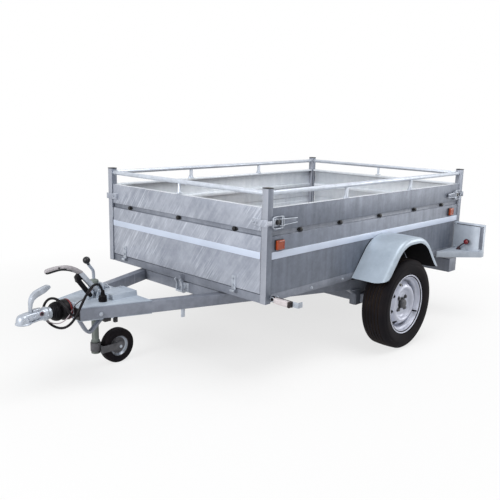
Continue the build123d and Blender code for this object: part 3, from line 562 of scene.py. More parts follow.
def finish_piece(piece, name, body, replaced=(), slot=None, smooth=35):
    """Names a piece, shades it, hangs it on its body and says which nodes it stands for."""
    placed(piece)
    piece.name = piece.data.name = name
    bpy.ops.object.shade_smooth_by_angle(angle=radians(smooth))
    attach(piece, body)
    if replaced:
        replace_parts(piece, *replaced)
    return piece


def stand_in(piece, name, *nodes, **settings):
    """Finishes a piece that stands for CAD nodes, on the body that carries them."""
    return finish_piece(piece, name, BODY_OF[nodes[0]], nodes, **settings)


def dressed(node, material=None, edge=1.2, segments=2):
    """A copy of a CAD node, its seams merged and its edges rounded, which stands for the node."""
    piece = bpy.data.objects.new(node + "_skin", frame["nodes"][node].data.copy())
    bpy.context.scene.collection.objects.link(piece)
    only(piece)
    bpy.ops.mesh.customdata_custom_splitnormals_clear()
    bpy.ops.object.mode_set(mode="EDIT")
    bpy.ops.mesh.select_all(action="SELECT")
    bpy.ops.mesh.remove_doubles(threshold=0.01 * MM)
    bpy.ops.mesh.dissolve_limited(angle_limit=radians(0.4))
    bpy.ops.object.mode_set(mode="OBJECT")
    rounded(piece, edge, segments, angle=40)
    return stand_in(coated(piece, material or SLOT_OF[node]), node + "_skin", node)


def nurbs_line(name, points, diameter, material, ring=False, resolution=6):
    """Round wire or cord: a smooth NURBS line with the points as its control points."""
    curve = bpy.data.curves.new(name, "CURVE")
    curve.dimensions = "3D"
    curve.resolution_u = resolution
    curve.bevel_depth = diameter / 2
    curve.bevel_resolution = 4
    curve.use_fill_caps = not ring
    spline = curve.splines.new("NURBS")
    spline.points.add(len(points) - 1)
    for point, place in zip(spline.points, points):
        point.co = (*place, 1.0)
    spline.order_u = 3
    spline.use_cyclic_u = ring
    spline.use_endpoint_u = not ring
    piece = bpy.data.objects.new(name, curve)
    bpy.context.scene.collection.objects.link(piece)
    curve.materials.append(finish(material))
    return piece


def wire(points, diameter, material, ring=False):
    """A bent wire through points in millimetres, made a mesh."""
    only(nurbs_line("wire", [at(*point) for point in points], diameter * MM, material, ring, 3))
    bpy.ops.object.convert(target="MESH")
    edit(bpy.context.object)
    return closed()


# --- cords --------------------------------------------------------------------------------
CABLE_ROUTE = [(103, -1804, 406), (103, -1824, 406), (101, -1846, 424), (84, -1858, 451), (55, -1866, 474),
               (18, -1872, 487), (-24, -1880, 484), (-56, -1888, 464), (-74, -1896, 432), (-73, -1898, 396),
               (-52, -1894, 364), (-17, -1886, 345), (26, -1878, 339), (69, -1870, 346), (106, -1860, 366),
               (130, -1846, 396), (141, -1828, 434), (138, -1800, 478), (126, -1764, 520), (109, -1722, 547),
               (94, -1682, 547), (86, -1656, 524), (85, -1648, 490)]
CABLE_DIAMETER = 0.013
BREAK_ROUTE = [(13, -1664, 512), (25, -1664, 512), (36, -1686, 498), (46, -1716, 482), (58, -1748, 468),
               (68, -1781, 463), (76, -1810, 448), (74, -1828, 418), (64, -1842, 392), (46, -1856, 370),
               (22, -1870, 358), (-4, -1884, 356), (-26, -1898, 364), (-38, -1912, 380), (-38, -1912, 400)]
BREAK_DIAMETER = 0.005


def cord(name, route, diameter, material, node):
    """Lays a cord along its route, hangs it on its body and says which node it stands for."""
    points = [at(*point) for point in route]
    piece = nurbs_line(name, points, diameter, material)
    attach(piece, BODY_OF[node])
    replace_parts(piece, node)


def parked_plug():
    """Round plug with moulded finger ribs, a screwed collar and a ridged strain relief."""
    x, y, z = CABLE_ROUTE[-1]
    ribs = [(h + dh, r) for h in range(-34, -16, 4) for dh, r in ((0, 20), (2.6, 20), (3, 18.8), (3.7, 18.8))]
    relief = [(h + dh, r) for h in range(-8, 14, 4)
              for dh, r in ((0, 10.5 - h / 8), (2.4, 10.3 - h / 8), (2.6, 8), (3.8, 8))]
    section = [(-36, 0), (-36, 19), *ribs, (-17, 20), (-14, 19), (-12, 14), (-8, 13), *relief, (16, 7),
               (16, 0)]
    plug = turned(section, (x, y, z), "Z", 40)
    lug = brick((x - 6, y - 25, z - 34), (x + 6, y - 16, z - 22), 2)
    return coated(joined(plug, lug), "black_rubber")


class TRAILER_OT_cords(bpy.types.Operator):
    """Lays the lighting cable round the gaiter to its parked plug, and the breakaway cable"""
    bl_idname = "trailer.cords"
    bl_label = "Cords"

    def execute(self, context):
        plug = stand_in(parked_plug(), "seven_pin_plug", "cable_plug")
        cord("lighting_lead", CABLE_ROUTE, CABLE_DIAMETER, "black_rubber", "lighting_cable")
        cord("breakaway_wire", BREAK_ROUTE, BREAK_DIAMETER, "red_cord", "breakaway_cable")
        return {"FINISHED"}


# --- wheels -------------------------------------------------------------------------------
WHEEL = (821.5, 0, 280.5)
# Sections are lists of (distance from the wheel's middle, radius).
TYRE_SIDE = [(60, 169.5), (66.5, 171), (68.5, 176), (67, 183), (72, 191), (74, 192), (79.5, 207), (83.8, 222),
             (85.3, 236), (84.4, 245), (82, 248), (82.4, 253), (79.6, 261), (75, 268.5), (69.5, 274)]
LINER = [(-56, 178), (-72, 228), (-60, 262), (60, 262), (72, 228), (56, 178)]
BARREL = [(68.5, 184), (70, 182), (69, 178.5), (65, 176), (63.5, 172), (63, 168.5), (58, 166), (50, 165),
          (46, 162), (43, 156), (37, 151.5), (30, 150), (-24, 150), (-38, 154), (-46, 163), (-58, 166),
          (-63, 168.5), (-63.5, 173), (-66, 178), (-69, 182.5)]
DISC = [(-8, 148.8), (2, 148.6), (8, 147), (13, 144.5), (18, 141), (23, 137), (29, 132), (35, 127), (41, 122),
        (47, 117), (52, 111.5), (54, 106), (54, 102), (51.5, 97), (46, 93), (39, 89), (33, 84), (30.5, 78),
        (30, 70), (30, 64), (33, 60), (33, 40), (30, 37), (28, 36)]
HUB = [(50, 0), (50, 17.3), (-66, 17.3), (-66, 42), (-72, 42), (-72, 104), (-69, 108), (-60, 108),
       (-58, 105.5), (-34, 105.5), (-30, 101), (-24, 78), (22, 77), (26, 73), (26, 32), (34, 32), (34, 28.5),
       (46, 28), (52, 26), (56.5, 20), (58.5, 11), (59.5, 0)]
HUB_CAP = [(30, 0), (30, 27.5), (46, 29), (53, 26.6), (57.4, 20.6), (59.4, 11.4), (60, 0)]
SHIELD = [(-66, 100), (-61, 157), (-59, 157), (-63, 100), (-66, 100)]
VALVE = [(0, 0), (0, 9), (2, 9), (5, 5.5), (22, 4.2), (22.5, 4.8), (33, 4.8), (34, 4), (34, 0)]
TREAD_HALF = 64                  # half of the tread's width
CROWN_DROP, CROWN_HALF = 3.0, 66
GROOVES = (-44, -22, 0, 22, 44)
GROOVE_MOUTH, GROOVE_FLOOR = 3.4, 2.4      # halves of a groove's width
VENTS = 8
VENT_PHASE = radians(14)
VENT_RADII = (118, 143)
STUD_CIRCLE = 50                 # radius of the circle on which the wheel bolts stand
VALVE_ANGLE = radians(-29)


def crown(x):
    """Radius of the tread at a distance from its middle."""
    return WHEEL[2] - CROWN_DROP * (x / CROWN_HALF) ** 2


def tyre(depth):
    """Radial tyre: bead, bulged sidewall with a scuff rib, and a crown with five dusty grooves."""
    tread = [(TREAD_HALF, crown(TREAD_HALF))]
    for middle in reversed(GROOVES):
        floor = crown(middle) - depth / MM
        start_x, end_x = middle + GROOVE_MOUTH, middle - GROOVE_MOUTH
        tread += [(start_x, crown(start_x)), (middle + GROOVE_FLOOR, floor), (middle - GROOVE_FLOOR, floor),
                  (end_x, crown(end_x))]
    tread.append((-TREAD_HALF, crown(TREAD_HALF)))
    section = TYRE_SIDE + tread + [(-x, r) for x, r in reversed(TYRE_SIDE)] + LINER + TYRE_SIDE[:1]
    piece = coated(turned(section, WHEEL, "X", 120), "tyre_rubber")

    def in_groove(face):
        x, radius = from_centre(face.center, WHEEL)
        return abs(x) < 60 and 265 < radius < crown(x) - 1.5
    return painted(piece, "tread_dust", in_groove)


def rim():
    """Drop-centre barrel and pressed disc: raised ring, sunk bowl, vents cut at the disc's shoulder."""
    barrel = coated(walled(turned(BARREL, WHEEL, "X", 96), 3.2), "rim_paint")
    # The barrel's inner half is near black: painted shade inside the wheel, seen through the vents.
    painted(barrel, "undercoat", lambda face: from_centre(face.center, WHEEL)[0] < 2)
    disc = turned(DISC, WHEEL, "X", 144)
    centre = at(*WHEEL)
    inner, outer = VENT_RADII

    def in_vent(face):
        place = (face.calc_center_median() - centre) / MM
        radius = hypot(place.y, place.z)
        turn = (atan2(place.z, place.y) - VENT_PHASE) % (2 * pi / VENTS)
        turn = min(turn, 2 * pi / VENTS - turn)
        return inner < radius < outer and turn * radius < 8 + (radius - inner) * 0.55
    edit(disc, in_vent)
    bpy.ops.mesh.delete(type="FACE")
    bpy.ops.object.mode_set(mode="OBJECT")
    return joined(barrel, coated(walled(disc, 4), "rim_paint"))


def hub():
    """Brake drum and flange, grease cap and four bolts with conical seats. The drum is dark cast iron and
    also a painted shade round the cap; the dark cap, bolt heads and seats are painted shade in the sunk bowl.
    """
    drum = coated(turned(HUB, WHEEL, "X", 64), "cast_drum")
    # The near-black cone behind the disc is painted shade inside the wheel, seen through the vents.
    shield = coated(turned(SHIELD, WHEEL, "X", 64), "undercoat")
    x, y, z = WHEEL
    # Cap and bolt heads in the dark grey steel: painted shade in the bowl.
    cap = coated(turned(HUB_CAP, WHEEL, "X", 40), "jockey_steel")
    corners = (pi / 4, 3 * pi / 4, 5 * pi / 4, 7 * pi / 4)
    studs = [(y + STUD_CIRCLE * cos(a), z + STUD_CIRCLE * sin(a)) for a in corners]
    # Bolt seats in the dark cast: painted shade round the bolts.
    seats = [turned([(33, 0), (33, 14.5), (36.2, 13.5), (36.2, 0)], (x, a, b), "X", 24) for a, b in studs]
    heads = [bolt((x + 35, a, b), "X", 9.8, 8) for a, b in studs]
    seats, heads = coated(joined(*seats), "cast_drum"), coated(joined(*heads), "jockey_steel")
    return joined(drum, shield, cap, seats, heads)


def valve():
    """Rubber snap-in valve through the barrel."""
    stem = turned(VALVE, None, "X", 16)
    stem.rotation_euler.z = radians(-24)
    placed(stem)
    stem.rotation_euler.x = VALVE_ANGLE
    placed(stem)
    stem.location = at(WHEEL[0] + 40, 158 * cos(VALVE_ANGLE), WHEEL[2] + 158 * sin(VALVE_ANGLE))
    return coated(placed(stem), "black_rubber")


class TRAILER_OT_wheels(bpy.types.Operator):
    """Turns the grooved tyres, the pressed rims with their valves and the bolted hubs"""
    bl_idname = "trailer.wheels"
    bl_label = "Wheels"

    def execute(self, context):
        left = {"tyre": tyre(context.scene.trailer_sizes.tread), "rim": joined(rim(), valve()), "hub": hub()}
        for part, piece in left.items():
            other = mirrored(piece)
            stand_in(piece, f"road_{part}_left", f"{part}_left")
            stand_in(other, f"road_{part}_right", f"{part}_right")
        return {"FINISHED"}


# --- bed ----------------------------------------------------------------------------------
POST_FRONT, POST_BACK = -1080, 1002
SKIN_FRONT, SKIN_BACK = -1075, 997
SKIN_X = 695
BAND_Z = (0.680, 0.720)          # lowest and highest of the raised band, in metres
UPRIGHT_Y = (-396, 307)
ROPE_HOOK_Y = (-809, -454, -48, 363, 729)
ROPE_HOOK_X = (-478, -7, 457)
GROOVE_Z = 813.5
GROOVE = (0.7985, 0.8285)        # lowest and highest of the sunk groove, in metres
GROOVE_FACE = 0.04               # a face of the groove is lower than this; taller ones are flat sheet
# The side and tail panels take zinc_sheet, whose darker colours are painted shade.
PANELS = (("side_panel_left", (1, 0, 0), "zinc_sheet"), ("side_panel_right", (-1, 0, 0), "zinc_sheet"),
          ("front_panel", (0, -1, 0), "scuffed_sheet"), ("tail_panel", (0, 1, 0), "zinc_sheet"))
PLAIN_NODES = ("post_caps", "bed_frame", "bed_floor", "rail_left", "rail_right", "rail_front", "rail_rear",
               "rear_bar", "rear_bar_hangers")
LOZENGE = ((-24, 0), (-14, 9), (14, 9), (24, 0), (14, -9), (-14, -9))
HOOK_BUTTON = [(0, 0), (0, 11), (3, 11), (4, 6), (9, 5.5), (10, 11), (12.5, 12), (15.5, 10), (17, 5),
               (17.3, 0)]


def paint_band(piece, outward):
    """Paints a panel's inner side and upward faces near white, painted light; its groove darker, painted
    shade; and its raised band smooth and pale, a painted reflection of the sky.
    """
    def heights(face):
        levels = [piece.data.vertices[v].co.z for v in face.vertices]
        return min(levels), max(levels)

    def inside(face):
        return face.normal.dot(outward) < -0.3 or face.normal.z > 0.9

    def in_groove(face):
        low, high = heights(face)
        near = GROOVE[0] < face.center.z < GROOVE[1] and high - low < GROOVE_FACE
        return near and face.normal.dot(outward) > -0.3

    def on_band(face):
        low, high = heights(face)
        return BAND_Z[0] <= low and high <= BAND_Z[1] and face.normal.dot(outward) > 0.2
    # Painted light inside and on top, painted shade in the groove, a painted reflection on the band.
    for look, chosen in (("inner_sheet", inside), ("groove_sheet", in_groove), ("rolled_band", on_band)):
        painted(piece, look, chosen)


def paint_straps(piece, outward):
    """Gives the hinge and keeper straps that stand off a gate's skin the brighter zinc plate."""
    skin = abs(at(0, SKIN_FRONT if outward.y < 0 else SKIN_BACK, 0).dot(outward)) + 0.8 * MM
    below = BAND_Z[0] - 0.01
    painted(piece, "zinc_fitting", lambda face: face.center.dot(outward) > skin and face.center.z < below)


def rope_hook(along, place):
    """Moulded rope hook in the groove: a lozenge base and a button on a neck."""
    x, y, z = place
    button = turned(HOOK_BUTTON, place, along, 20)
    outline = [(x, y + a, z + b) if along == "X" else (x + a, y, z + b) for a, b in LOZENGE]
    return coated(joined(button, slab(outline, AXES[along] * 5, 1.2)), "black_plastic")


def hook_row(hook, offsets):
    """Copies of a hook at offsets in millimetres, joined; the first hook is used up."""
    row = joined(*[copied(hook, offset) for offset in offsets])
    bpy.data.objects.remove(hook)
    return row


GUARD_SECTION = [(x, 0) for x in (699.5, 750, 800, 840, 860, 880, 900)] + [
    (900 + 22 * sin(a * pi / 12), 22 - 22 * cos(a * pi / 12)) for a in range(1, 7)] + [(922, 28), (922, 34)]
# The mudguard's curve, measured along it from its front foot.
GUARD_RUN = 843.4                # from foot to foot
GUARD_FOOT = (-325, 465)         # along the trailer and up
GUARD_RISE = (0.632, 0.775)      # direction of the straight part that stands on the foot
GUARD_LEAN = 0.8866              # its angle
GUARD_STRAIGHT = 196.1           # where it meets the bend
GUARD_BENT = 391.2               # where the bend meets the flat top
GUARD_BEND = 220                 # the bend's radius
GUARD_FLAT = 30.6                # half of the flat top
GUARD_TOP = 698
GUARD_STEPS = 44
FOOT_ROUNDING = 74


def guard_place(run, inset):
    """Place along the trailer and height of a point on the mudguard's curve, sunk below it by an inset."""
    side, run = (-1, run) if run < GUARD_RUN / 2 else (1, GUARD_RUN - run)
    lean = GUARD_LEAN
    if run < GUARD_STRAIGHT:
        along, height = (foot + rise * run for foot, rise in zip(GUARD_FOOT, GUARD_RISE))
    elif run < GUARD_BENT:
        lean -= (run - GUARD_STRAIGHT) / GUARD_BEND
        along = -GUARD_FLAT - GUARD_BEND * sin(lean)
        height = GUARD_TOP - GUARD_BEND + GUARD_BEND * cos(lean)
    else:
        along, height, lean = -GUARD_FLAT + run - GUARD_BENT, GUARD_TOP, 0.0
    return -side * (along + inset * sin(lean)), height - inset * cos(lean)


def mudguard():
    """A pressed mudguard: swept sheet with a rolled outer edge, rounded feet and a near-black inside,
    undercoat and painted shade under the mudguard.
    """
    lines = []
    for x, inset in GUARD_SECTION:
        rise = min(max((x - 840 + inset) / 116, 0), 1)
        trim = FOOT_ROUNDING * (1 - (1 - rise * rise) ** 0.5)
        runs = [trim + (GUARD_RUN - 2 * trim) * i / GUARD_STEPS for i in range(GUARD_STEPS + 1)]
        lines.append([at(x, *guard_place(run, inset)) for run in runs])
    strips = []
    for pair in zip(lines, lines[1:]):
        edges = []
        for line in pair:
            edges.append(traced(line))
            bpy.ops.object.mode_set(mode="OBJECT")
        strips.append(joined(*edges))
        edit(strips[-1])
        bpy.ops.mesh.bridge_edge_loops()
        bpy.ops.object.mode_set(mode="OBJECT")
    edit(joined(*strips))
    piece = coated(walled(closed(), 2), "pressed_sheet")
    middle = at(0, 0, 400)

    def underneath(face):
        spoke = face.center - middle
        return face.normal.x < -0.5 or face.normal.y * spoke.y + face.normal.z * spoke.z < -0.01
    # Inward faces near black: undercoat, and painted shade under the mudguard.
    return painted(piece, "undercoat", underneath)


def uprights():
    """Flat uprights that carry the side rails, flared at the foot."""
    foot = [(-24, 949.5), (12, 949.5), (12, 1016), (-11, 1016), (-11, 975)]
    plates = [slab([(674, y + dy, z) for dy, z in foot], (12, 0, 0), 1.5) for y in UPRIGHT_Y]
    return coated(both_sides(joined(*plates)), "rail_tube")


def arch_shadow_sheet():
    """Near-black sheet on the side panel inside the wheel arch: undercoat and a painted shadow of the arch.
    """
    half = [(322, 452), (276, 522), (232, 584), (192, 634), (154, 664), (112, 680)]
    outline = [(SKIN_X + 0.3, y, z) for y, z in half] + [(SKIN_X + 0.3, -y, z) for y, z in reversed(half)]
    return coated(both_sides(slab(outline, (2.2, 0, 0), 0.4)), "undercoat")


class TRAILER_OT_bed(bpy.types.Operator):
    """Finishes the tipping bed: panels, posts, rails, floor, mudguards and frame"""
    bl_idname = "trailer.bed"
    bl_label = "Bed"

    def execute(self, context):
        edge = context.scene.trailer_sizes.edge / MM
        for node, outward, look in PANELS:
            panel = dressed(node, look, edge)
            paint_band(panel, Vector(outward))
            if outward[1]:
                paint_straps(panel, Vector(outward))
        for node in PLAIN_NODES:
            dressed(node, None, edge)
        posts = dressed("corner_posts", "post_tube", 3.0, segments=3)
        # The posts' sides take the side panels' darker sheet: painted shade of the faces that look sideways.
        painted(posts, "zinc_sheet", lambda face: abs(face.normal.x) > 0.8)
        for side in ("left", "right"):
            dressed("lamp_board_" + side, "lamp_sheet", edge)
        guard = mudguard()
        stand_in(mirrored(guard), "mudguard_right", "fender_right", slot="zinc_sheet", smooth=60)
        stand_in(guard, "mudguard_left", "fender_left", slot="zinc_sheet", smooth=60)
        # A near-black sheet in each wheel arch: painted shadow.
        finish_piece(arch_shadow_sheet(), "arch_liners", "bed", smooth=20)
        finish_piece(uprights(), "rail_uprights", "bed")
        strip = coated(brick((-664, -1079, 733), (-657, -1074.5, 797), 1), "zinc_fitting")
        finish_piece(strip, "keeper_strip", "front_gate")
        row = hook_row(rope_hook("X", (SKIN_X - 10, 0, GROOVE_Z)), [(0, y, 0) for y in ROPE_HOOK_Y])
        finish_piece(mirrored(row), "rope_hooks_right", "bed")
        finish_piece(row, "rope_hooks_left", "bed")
        row = hook_row(rope_hook("Y", (0, SKIN_BACK - 10, GROOVE_Z)), [(x, 0, 0) for x in ROPE_HOOK_X])
        finish_piece(mirrored(row, "Y"), "rope_hooks_front", "front_gate")
        finish_piece(row, "rope_hooks_rear", "tailgate")
        return {"FINISHED"}


# --- latches and small fittings of the bed -------------------------------------------------
LATCH_Z = 872
LATCH_RING = ((-1038, -31), (-1046, -24), (-1046, 24), (-1038, 31), (-970, 31), (-962, 24), (-962, -24),
              (-970, -31))
LEVER_RIM = ((-968, 15), (-900, 14), (-860, 11))
STALK_FOOT = [(-8, 0), (-8, 17), (-5, 17.5), (-4, 15), (-1, 14), (0, 12.5), (3, 11.5), (4, 9.5), (8, 8.5),
              (12, 6.5), (12, 0)]
STALK_RING = [(-7, 15), (-7, 19), (-4, 20), (4, 20), (7, 19), (7, 15), (-7, 15)]
STALK_LENS = [(-12, 0), (-11.4, 8), (-9, 14), (-6, 17.5), (6, 17.5), (9, 14), (11.4, 8), (12, 0)]
STALK_LAMP = (821, 892, 548)
GLAND = [(-14, 0), (-14, 6), (-13, 8.5), (-10, 9), (-9.5, 13.5), (-4, 14.5), (-3.5, 17), (2, 17), (2, 0)]
CHAMBERS = ((726, 784, "lamp_amber"), (785, 860, "lamp_red"), (861, 908, "lamp_white"))


def toggle_latch():
    """Over-centre latch of the left front post, unhooked: base, catch, wire frame, pivot and hand lever."""
    z = LATCH_Z
    base = sunk(brick((695.4, -1038, z - 20), (699, -954, z + 20), 1), (1, 0, 0), 7, -1)
    ears = [brick((698, -996, z + side - 2), (714, -960, z + side + 2), 1.2) for side in (-17, 17)]
    rivets = [bolt((699.6, y, z + dz), "X", 3.6, 2) for y in (-1030, -1003) for dz in (-13, 13)]
    loop = wire([(707, y, z + dz) for y, dz in LATCH_RING], 6, "zinc_fitting", ring=True)
    pivot = turned(both_ways([(-33, 0), (-33, 4.5), (-30, 5)]), (707, -976, z), "Z", 16)
    # The lever takes the side panels' darker sheet, with its painted shade.
    lever = coated(brick((706, -968, z - 14), (708.5, -866, z + 14), 0.8), "zinc_sheet")
    rims = [wire([(710, y, z + side * dz) for y, dz in LEVER_RIM], 5, "zinc_fitting") for side in (-1, 1)]
    catch = coated(brick((699, -1016, z - 12), (708, -990, z + 12), 2), "black_plastic")
    plate = [coated(piece, "zinc_fitting") for piece in (base, *ears, *rivets, pivot)]
    return joined(loop, catch, lever, *rims, *plate)


def side_lamp(y0, y1):
    """Amber side marker: a dark base and a domed lens with a moulded border."""
    base = coated(brick((695.4, y0, 726), (701, y1, 782), 2.5, 3), "lamp_housing")
    lens = sunk(brick((700, y0 + 2.5, 728.5), (714, y1 - 2.5, 779.5), 5, 4), (1, 0, 0), 4, 1.2)
    return joined(coated(lens, "lamp_amber"), base)


def stalk_lamp():
    """Outline marker behind the wheel: a ribbed rubber foot, a leaning stalk and a round double lens."""
    foot = turned(STALK_FOOT, (766, 892, 494), "Z", 28)
    stalk = wire([(x, 892, z) for x, z in ((767, 498), (773, 510), (794, 528), (814, 542))], 9, "lamp_foot")
    ring = turned(STALK_RING, STALK_LAMP, "Y", 40)
    lens = turned(STALK_LENS, STALK_LAMP, "Y", 40)
    return joined(coated(lens, "lamp_red"), coated(foot, "lamp_foot"), stalk, coated(ring, "lamp_foot"))


def board_trims():
    """Folded outer flange and rubber top edge of each lamp board; the flange is a darker strip on the board's
    face, a painted shade of the flange that looks sideways.
    """
    # Darker beam zinc on the flange strip: painted shade.
    flange = coated(brick((899, 925.4, 499), (924.6, 928.4, 661), 1), "galvanised_beam")
    edge = coated(brick((702, 926, 660.5), (924.6, 932, 665), 1.5), "black_rubber")
    return both_sides(joined(flange, edge))


def rear_lamp():
    """Cluster lamp on the board's back: black base, amber, red and clear chambers with moulded borders."""
    base = coated(brick((722, 931.4, 500), (912, 944, 640), 10, 4), "lamp_housing")
    lenses = [coated(sunk(brick((x0, 942, 504), (x1, 974, 636), 7, 4), (0, 1, 0), 5, 1.5), look)
              for x0, x1, look in CHAMBERS]
    return joined(*lenses, base)


def front_marker():
    """Clear front marker lamp with its end block and back plate, on its flat bar."""
    lens = coated(sunk(brick((742, -1068.5, 464), (838, -1042, 494), 5, 4), (0, -1, 0), 4, 1.2), "lamp_white")
    end = coated(brick((836, -1069, 463), (850, -1041.4, 495), 5, 4), "lamp_housing")
    back = coated(brick((741, -1046, 462.5), (851, -1041.2, 495.5), 1.5), "lamp_housing")
    return joined(lens, end, back)


def gland():
    """Rubber gland where the front marker's cable comes through its bar."""
    return coated(turned(GLAND, (722, -1042, 479), "Y", 32), "black_rubber")


def bed_bolts():
    """Hexagon bolts on rail feet, side rails, lamp boards and the marker's bar."""
    heads = [bolt((680, y + dy, 952), "Z", 4.5, 4) for y in UPRIGHT_Y for dy in (-14, 14)]
    heads += [bolt((695.2, y, 473), "X", 6.5, 5) for y in (-985, -700, -410, 420, 700, 900)]
    heads += [bolt((x, 927.8, z), "Y", 5, 4, -1) for x in (715, 910) for z in (500, 662)]
    heads.append(bolt((706, -1041.2, 479), "Y", 5, 4, -1))
    return coated(both_sides(joined(*heads)), "zinc_fitting")


def gate_bolts(sign):
    """Bolts of a gate's hinge straps and keeper straps: sign 1 is the tailgate and -1 the front gate."""
    strap, keeper = (1003.2, 1010.2) if sign > 0 else (-1081.2, -1088.2)
    hinges = (-500, 500) if sign > 0 else (-531, 466)
    heads = [bolt((x, strap, z), "Y", 5.5, 4, sign) for x in hinges for z in (512, 546)]
    heads += [bolt((side * x, keeper, LATCH_Z), "Y", 4.5, 3, sign) for x in (612, 634) for side in (-1, 1)]
    return coated(joined(*heads), "zinc_fitting")


class TRAILER_OT_fittings(bpy.types.Operator):
    """Makes the toggle latches, lamps, trims and bolts of the bed"""
    bl_idname = "trailer.fittings"
    bl_label = "Bed Fittings"

    def execute(self, context):
        latch = both_sides(toggle_latch())
        stand_in(joined(latch, mirrored(latch, "Y")), "toggle_latches", "panel_latches")
        lamps = joined(side_lamp(-1017, -953), side_lamp(822, 880))
        stand_in(both_sides(lamps), "side_markers", "side_lamps")
        stand_in(both_sides(stalk_lamp()), "outline_markers", "stalk_lamps")
        finish_piece(board_trims(), "lamp_board_trims", "bed")
        stand_in(both_sides(rear_lamp()), "rear_clusters", "rear_lamps")
        stand_in(front_marker(), "front_position_lamp", "front_marker_lamp")
        finish_piece(gland(), "marker_gland", "bed")
        finish_piece(bed_bolts(), "bed_bolts", "bed")
        finish_piece(gate_bolts(-1), "front_gate_bolts", "front_gate")
        finish_piece(gate_bolts(1), "tailgate_bolts", "tailgate")
        return {"FINISHED"}


# --- overrun device and jockey wheel -------------------------------------------------------
SHAFT = (0, 0, 418)
BALL_Y = -2042
GAITER_FRONT = -1898
FOLD_CRESTS = (38, 43.5, 46.5, 48.5, 49.5, 49, 47)
FOLD_PITCH = 6.4
BULGE = [(-1851, 41), (-1848, 43), (-1843, 48.5), (-1836, 52), (-1826, 53.5), (-1815, 53), (-1810, 51.5),
         (-1801, 50), (-1801, 42), (-1800.4, 21)]
CLAMP_RING = [(-1812, 51), (-1811, 54), (-1807, 54.5), (-1803, 53), (-1802, 50), (-1812, 51)]
# The coupling: sections turned about an axis, and outlines of (along the trailer, height).
BELL = [(439, 0), (438.5, 9), (435.5, 19), (428.5, 28), (418, 33), (406, 35), (397, 36), (394.5, 39),
        (391, 39.5), (389, 38.5), (389, 27), (408, 25.6), (424, 19), (432, 8), (433, 0)]
COLLAR = [(-1966, 0), (-1966, 25), (-1962, 29), (-1941, 30), (-1938, 33.5), (-1935, 34.5), (-1923, 34.5),
          (-1920, 33.5), (-1917, 30.5), (-1903, 30), (-1899.5, 27), (-1899.5, 0)]
BODY_SIDE = [(-2046, 394), (-1950, 408), (-1944, 440), (-1965, 442), (-2010, 440), (BALL_Y, 437)]
SKIRT_SIDE = [(-2040, 389), (-1942, 405), (-1942, 411), (-2040, 395)]
BUTTON = (27, -1960, 430)
HANDLE_OUTER = [(-2008, 436), (-2008, 488), (-2004, 508), (-1995, 525), (-1979, 539), (-1955, 549),
                (-1929, 557), (-1911, 561), (-1901, 560)]
HANDLE_INNER = [(-1896, 550), (-1906, 541), (-1926, 528), (-1950, 519), (-1970, 511), (-1986, 500),
                (-1994, 484), (-1999, 462), (-1999, 436)]
HANDLE_CLEAR = 0.47              # the handle is hollow above this height, in metres
# The grip's middle line: place along the trailer, height and thickness against its plain diameter.
GRIP_LINE = [(-1716, 590, 0.9), (-1735, 602, 1.0), (-1765, 619, 1.08), (-1800, 631, 1.1), (-1835, 635, 1.0),
             (-1870, 633, 1.08), (-1900, 629, 1.12), (-1914, 627, 1.0), (-1919, 626, 0.5)]
GRIP_DIAMETER = 27
JOCKEY = (-118, -1432, 100)
COLUMN_Y = -1572
JOCKEY_TREAD = [(24, 59), (26, 62), (26.5, 66), (25.5, 68), (26.5, 71), (26.5, 88), (25, 94), (20.5, 98.5),
                (12, 99.8)]
JOCKEY_DISH = [(24, 60), (25, 58.5), (23, 56), (16, 53), (10.5, 47), (9.5, 40), (12, 34), (12, 28), (15, 25),
               (24.5, 23.5), (26, 21.5), (26, 6.3)]
COLUMN = [(285, 20.3), (285, 25.5), (292, 26), (294, 24), (488, 24), (490, 26), (502, 26), (507, 23),
          (510, 12), (514, 10), (514, 0), (506, 0), (506, 20.3), (285, 20.3)]
WINDING_ARM = ((0, 500), (0, 534), (-2, 560), (-14, 576), (-27, 592), (-34, 606))
KNOB_RADIUS = 20
GUARD_OUTER = [(-1804, 374), (-1790, 348), (-1772, 318), (-1758, 303), (-1744, 298), (-1730, 303),
               (-1712, 318), (-1680, 346), (-1646, 374)]
GUARD_INNER = [(-1668, 374), (-1692, 354), (-1718, 331), (-1732, 318), (-1743, 313), (-1754, 318),
               (-1766, 336), (-1780, 360), (-1788, 374)]
WEB_SIDE = ((-203, 263), (-203, 330), (-285, 376), (-277, 376), (-195, 331), (-195, 263))
WEB_FOOT = ((-203, 262), (-120, 262), (-120, 267), (-203, 267))
BEAM_SPREAD = 0.3675             # the beams close in by this share of the way towards the front
BEAM_SEAT = 780.5                # bolt seat on a beam's outer side, at the wheel axis


def side_plate(x, outline, width, edge=0.6):
    """A plate whose outline of (along the trailer, height) starts at a place across it and has a width."""
    return slab([(x, y, z) for y, z in outline], (width, 0, 0), edge)


def gaiter():
    """Rubber gaiter: fine folds on the shaft, one smooth bulge and a red clamp ring behind it."""
    section = [(GAITER_FRONT, 21), (GAITER_FRONT, 31)]
    for i, crest in enumerate(FOLD_CRESTS):
        foot = GAITER_FRONT + 2 + i * FOLD_PITCH
        section += [(foot, crest - 4), (foot + 1.6, crest - 0.5), (foot + 3.2, crest)]
        section.append((foot + 4.8, crest - 3.5))
    folds = turned([*section, *BULGE, section[0]], SHAFT, "Y", 72)
    return joined(coated(folds, "black_rubber"), coated(turned(CLAMP_RING, SHAFT, "Y", 72), "red_band"))


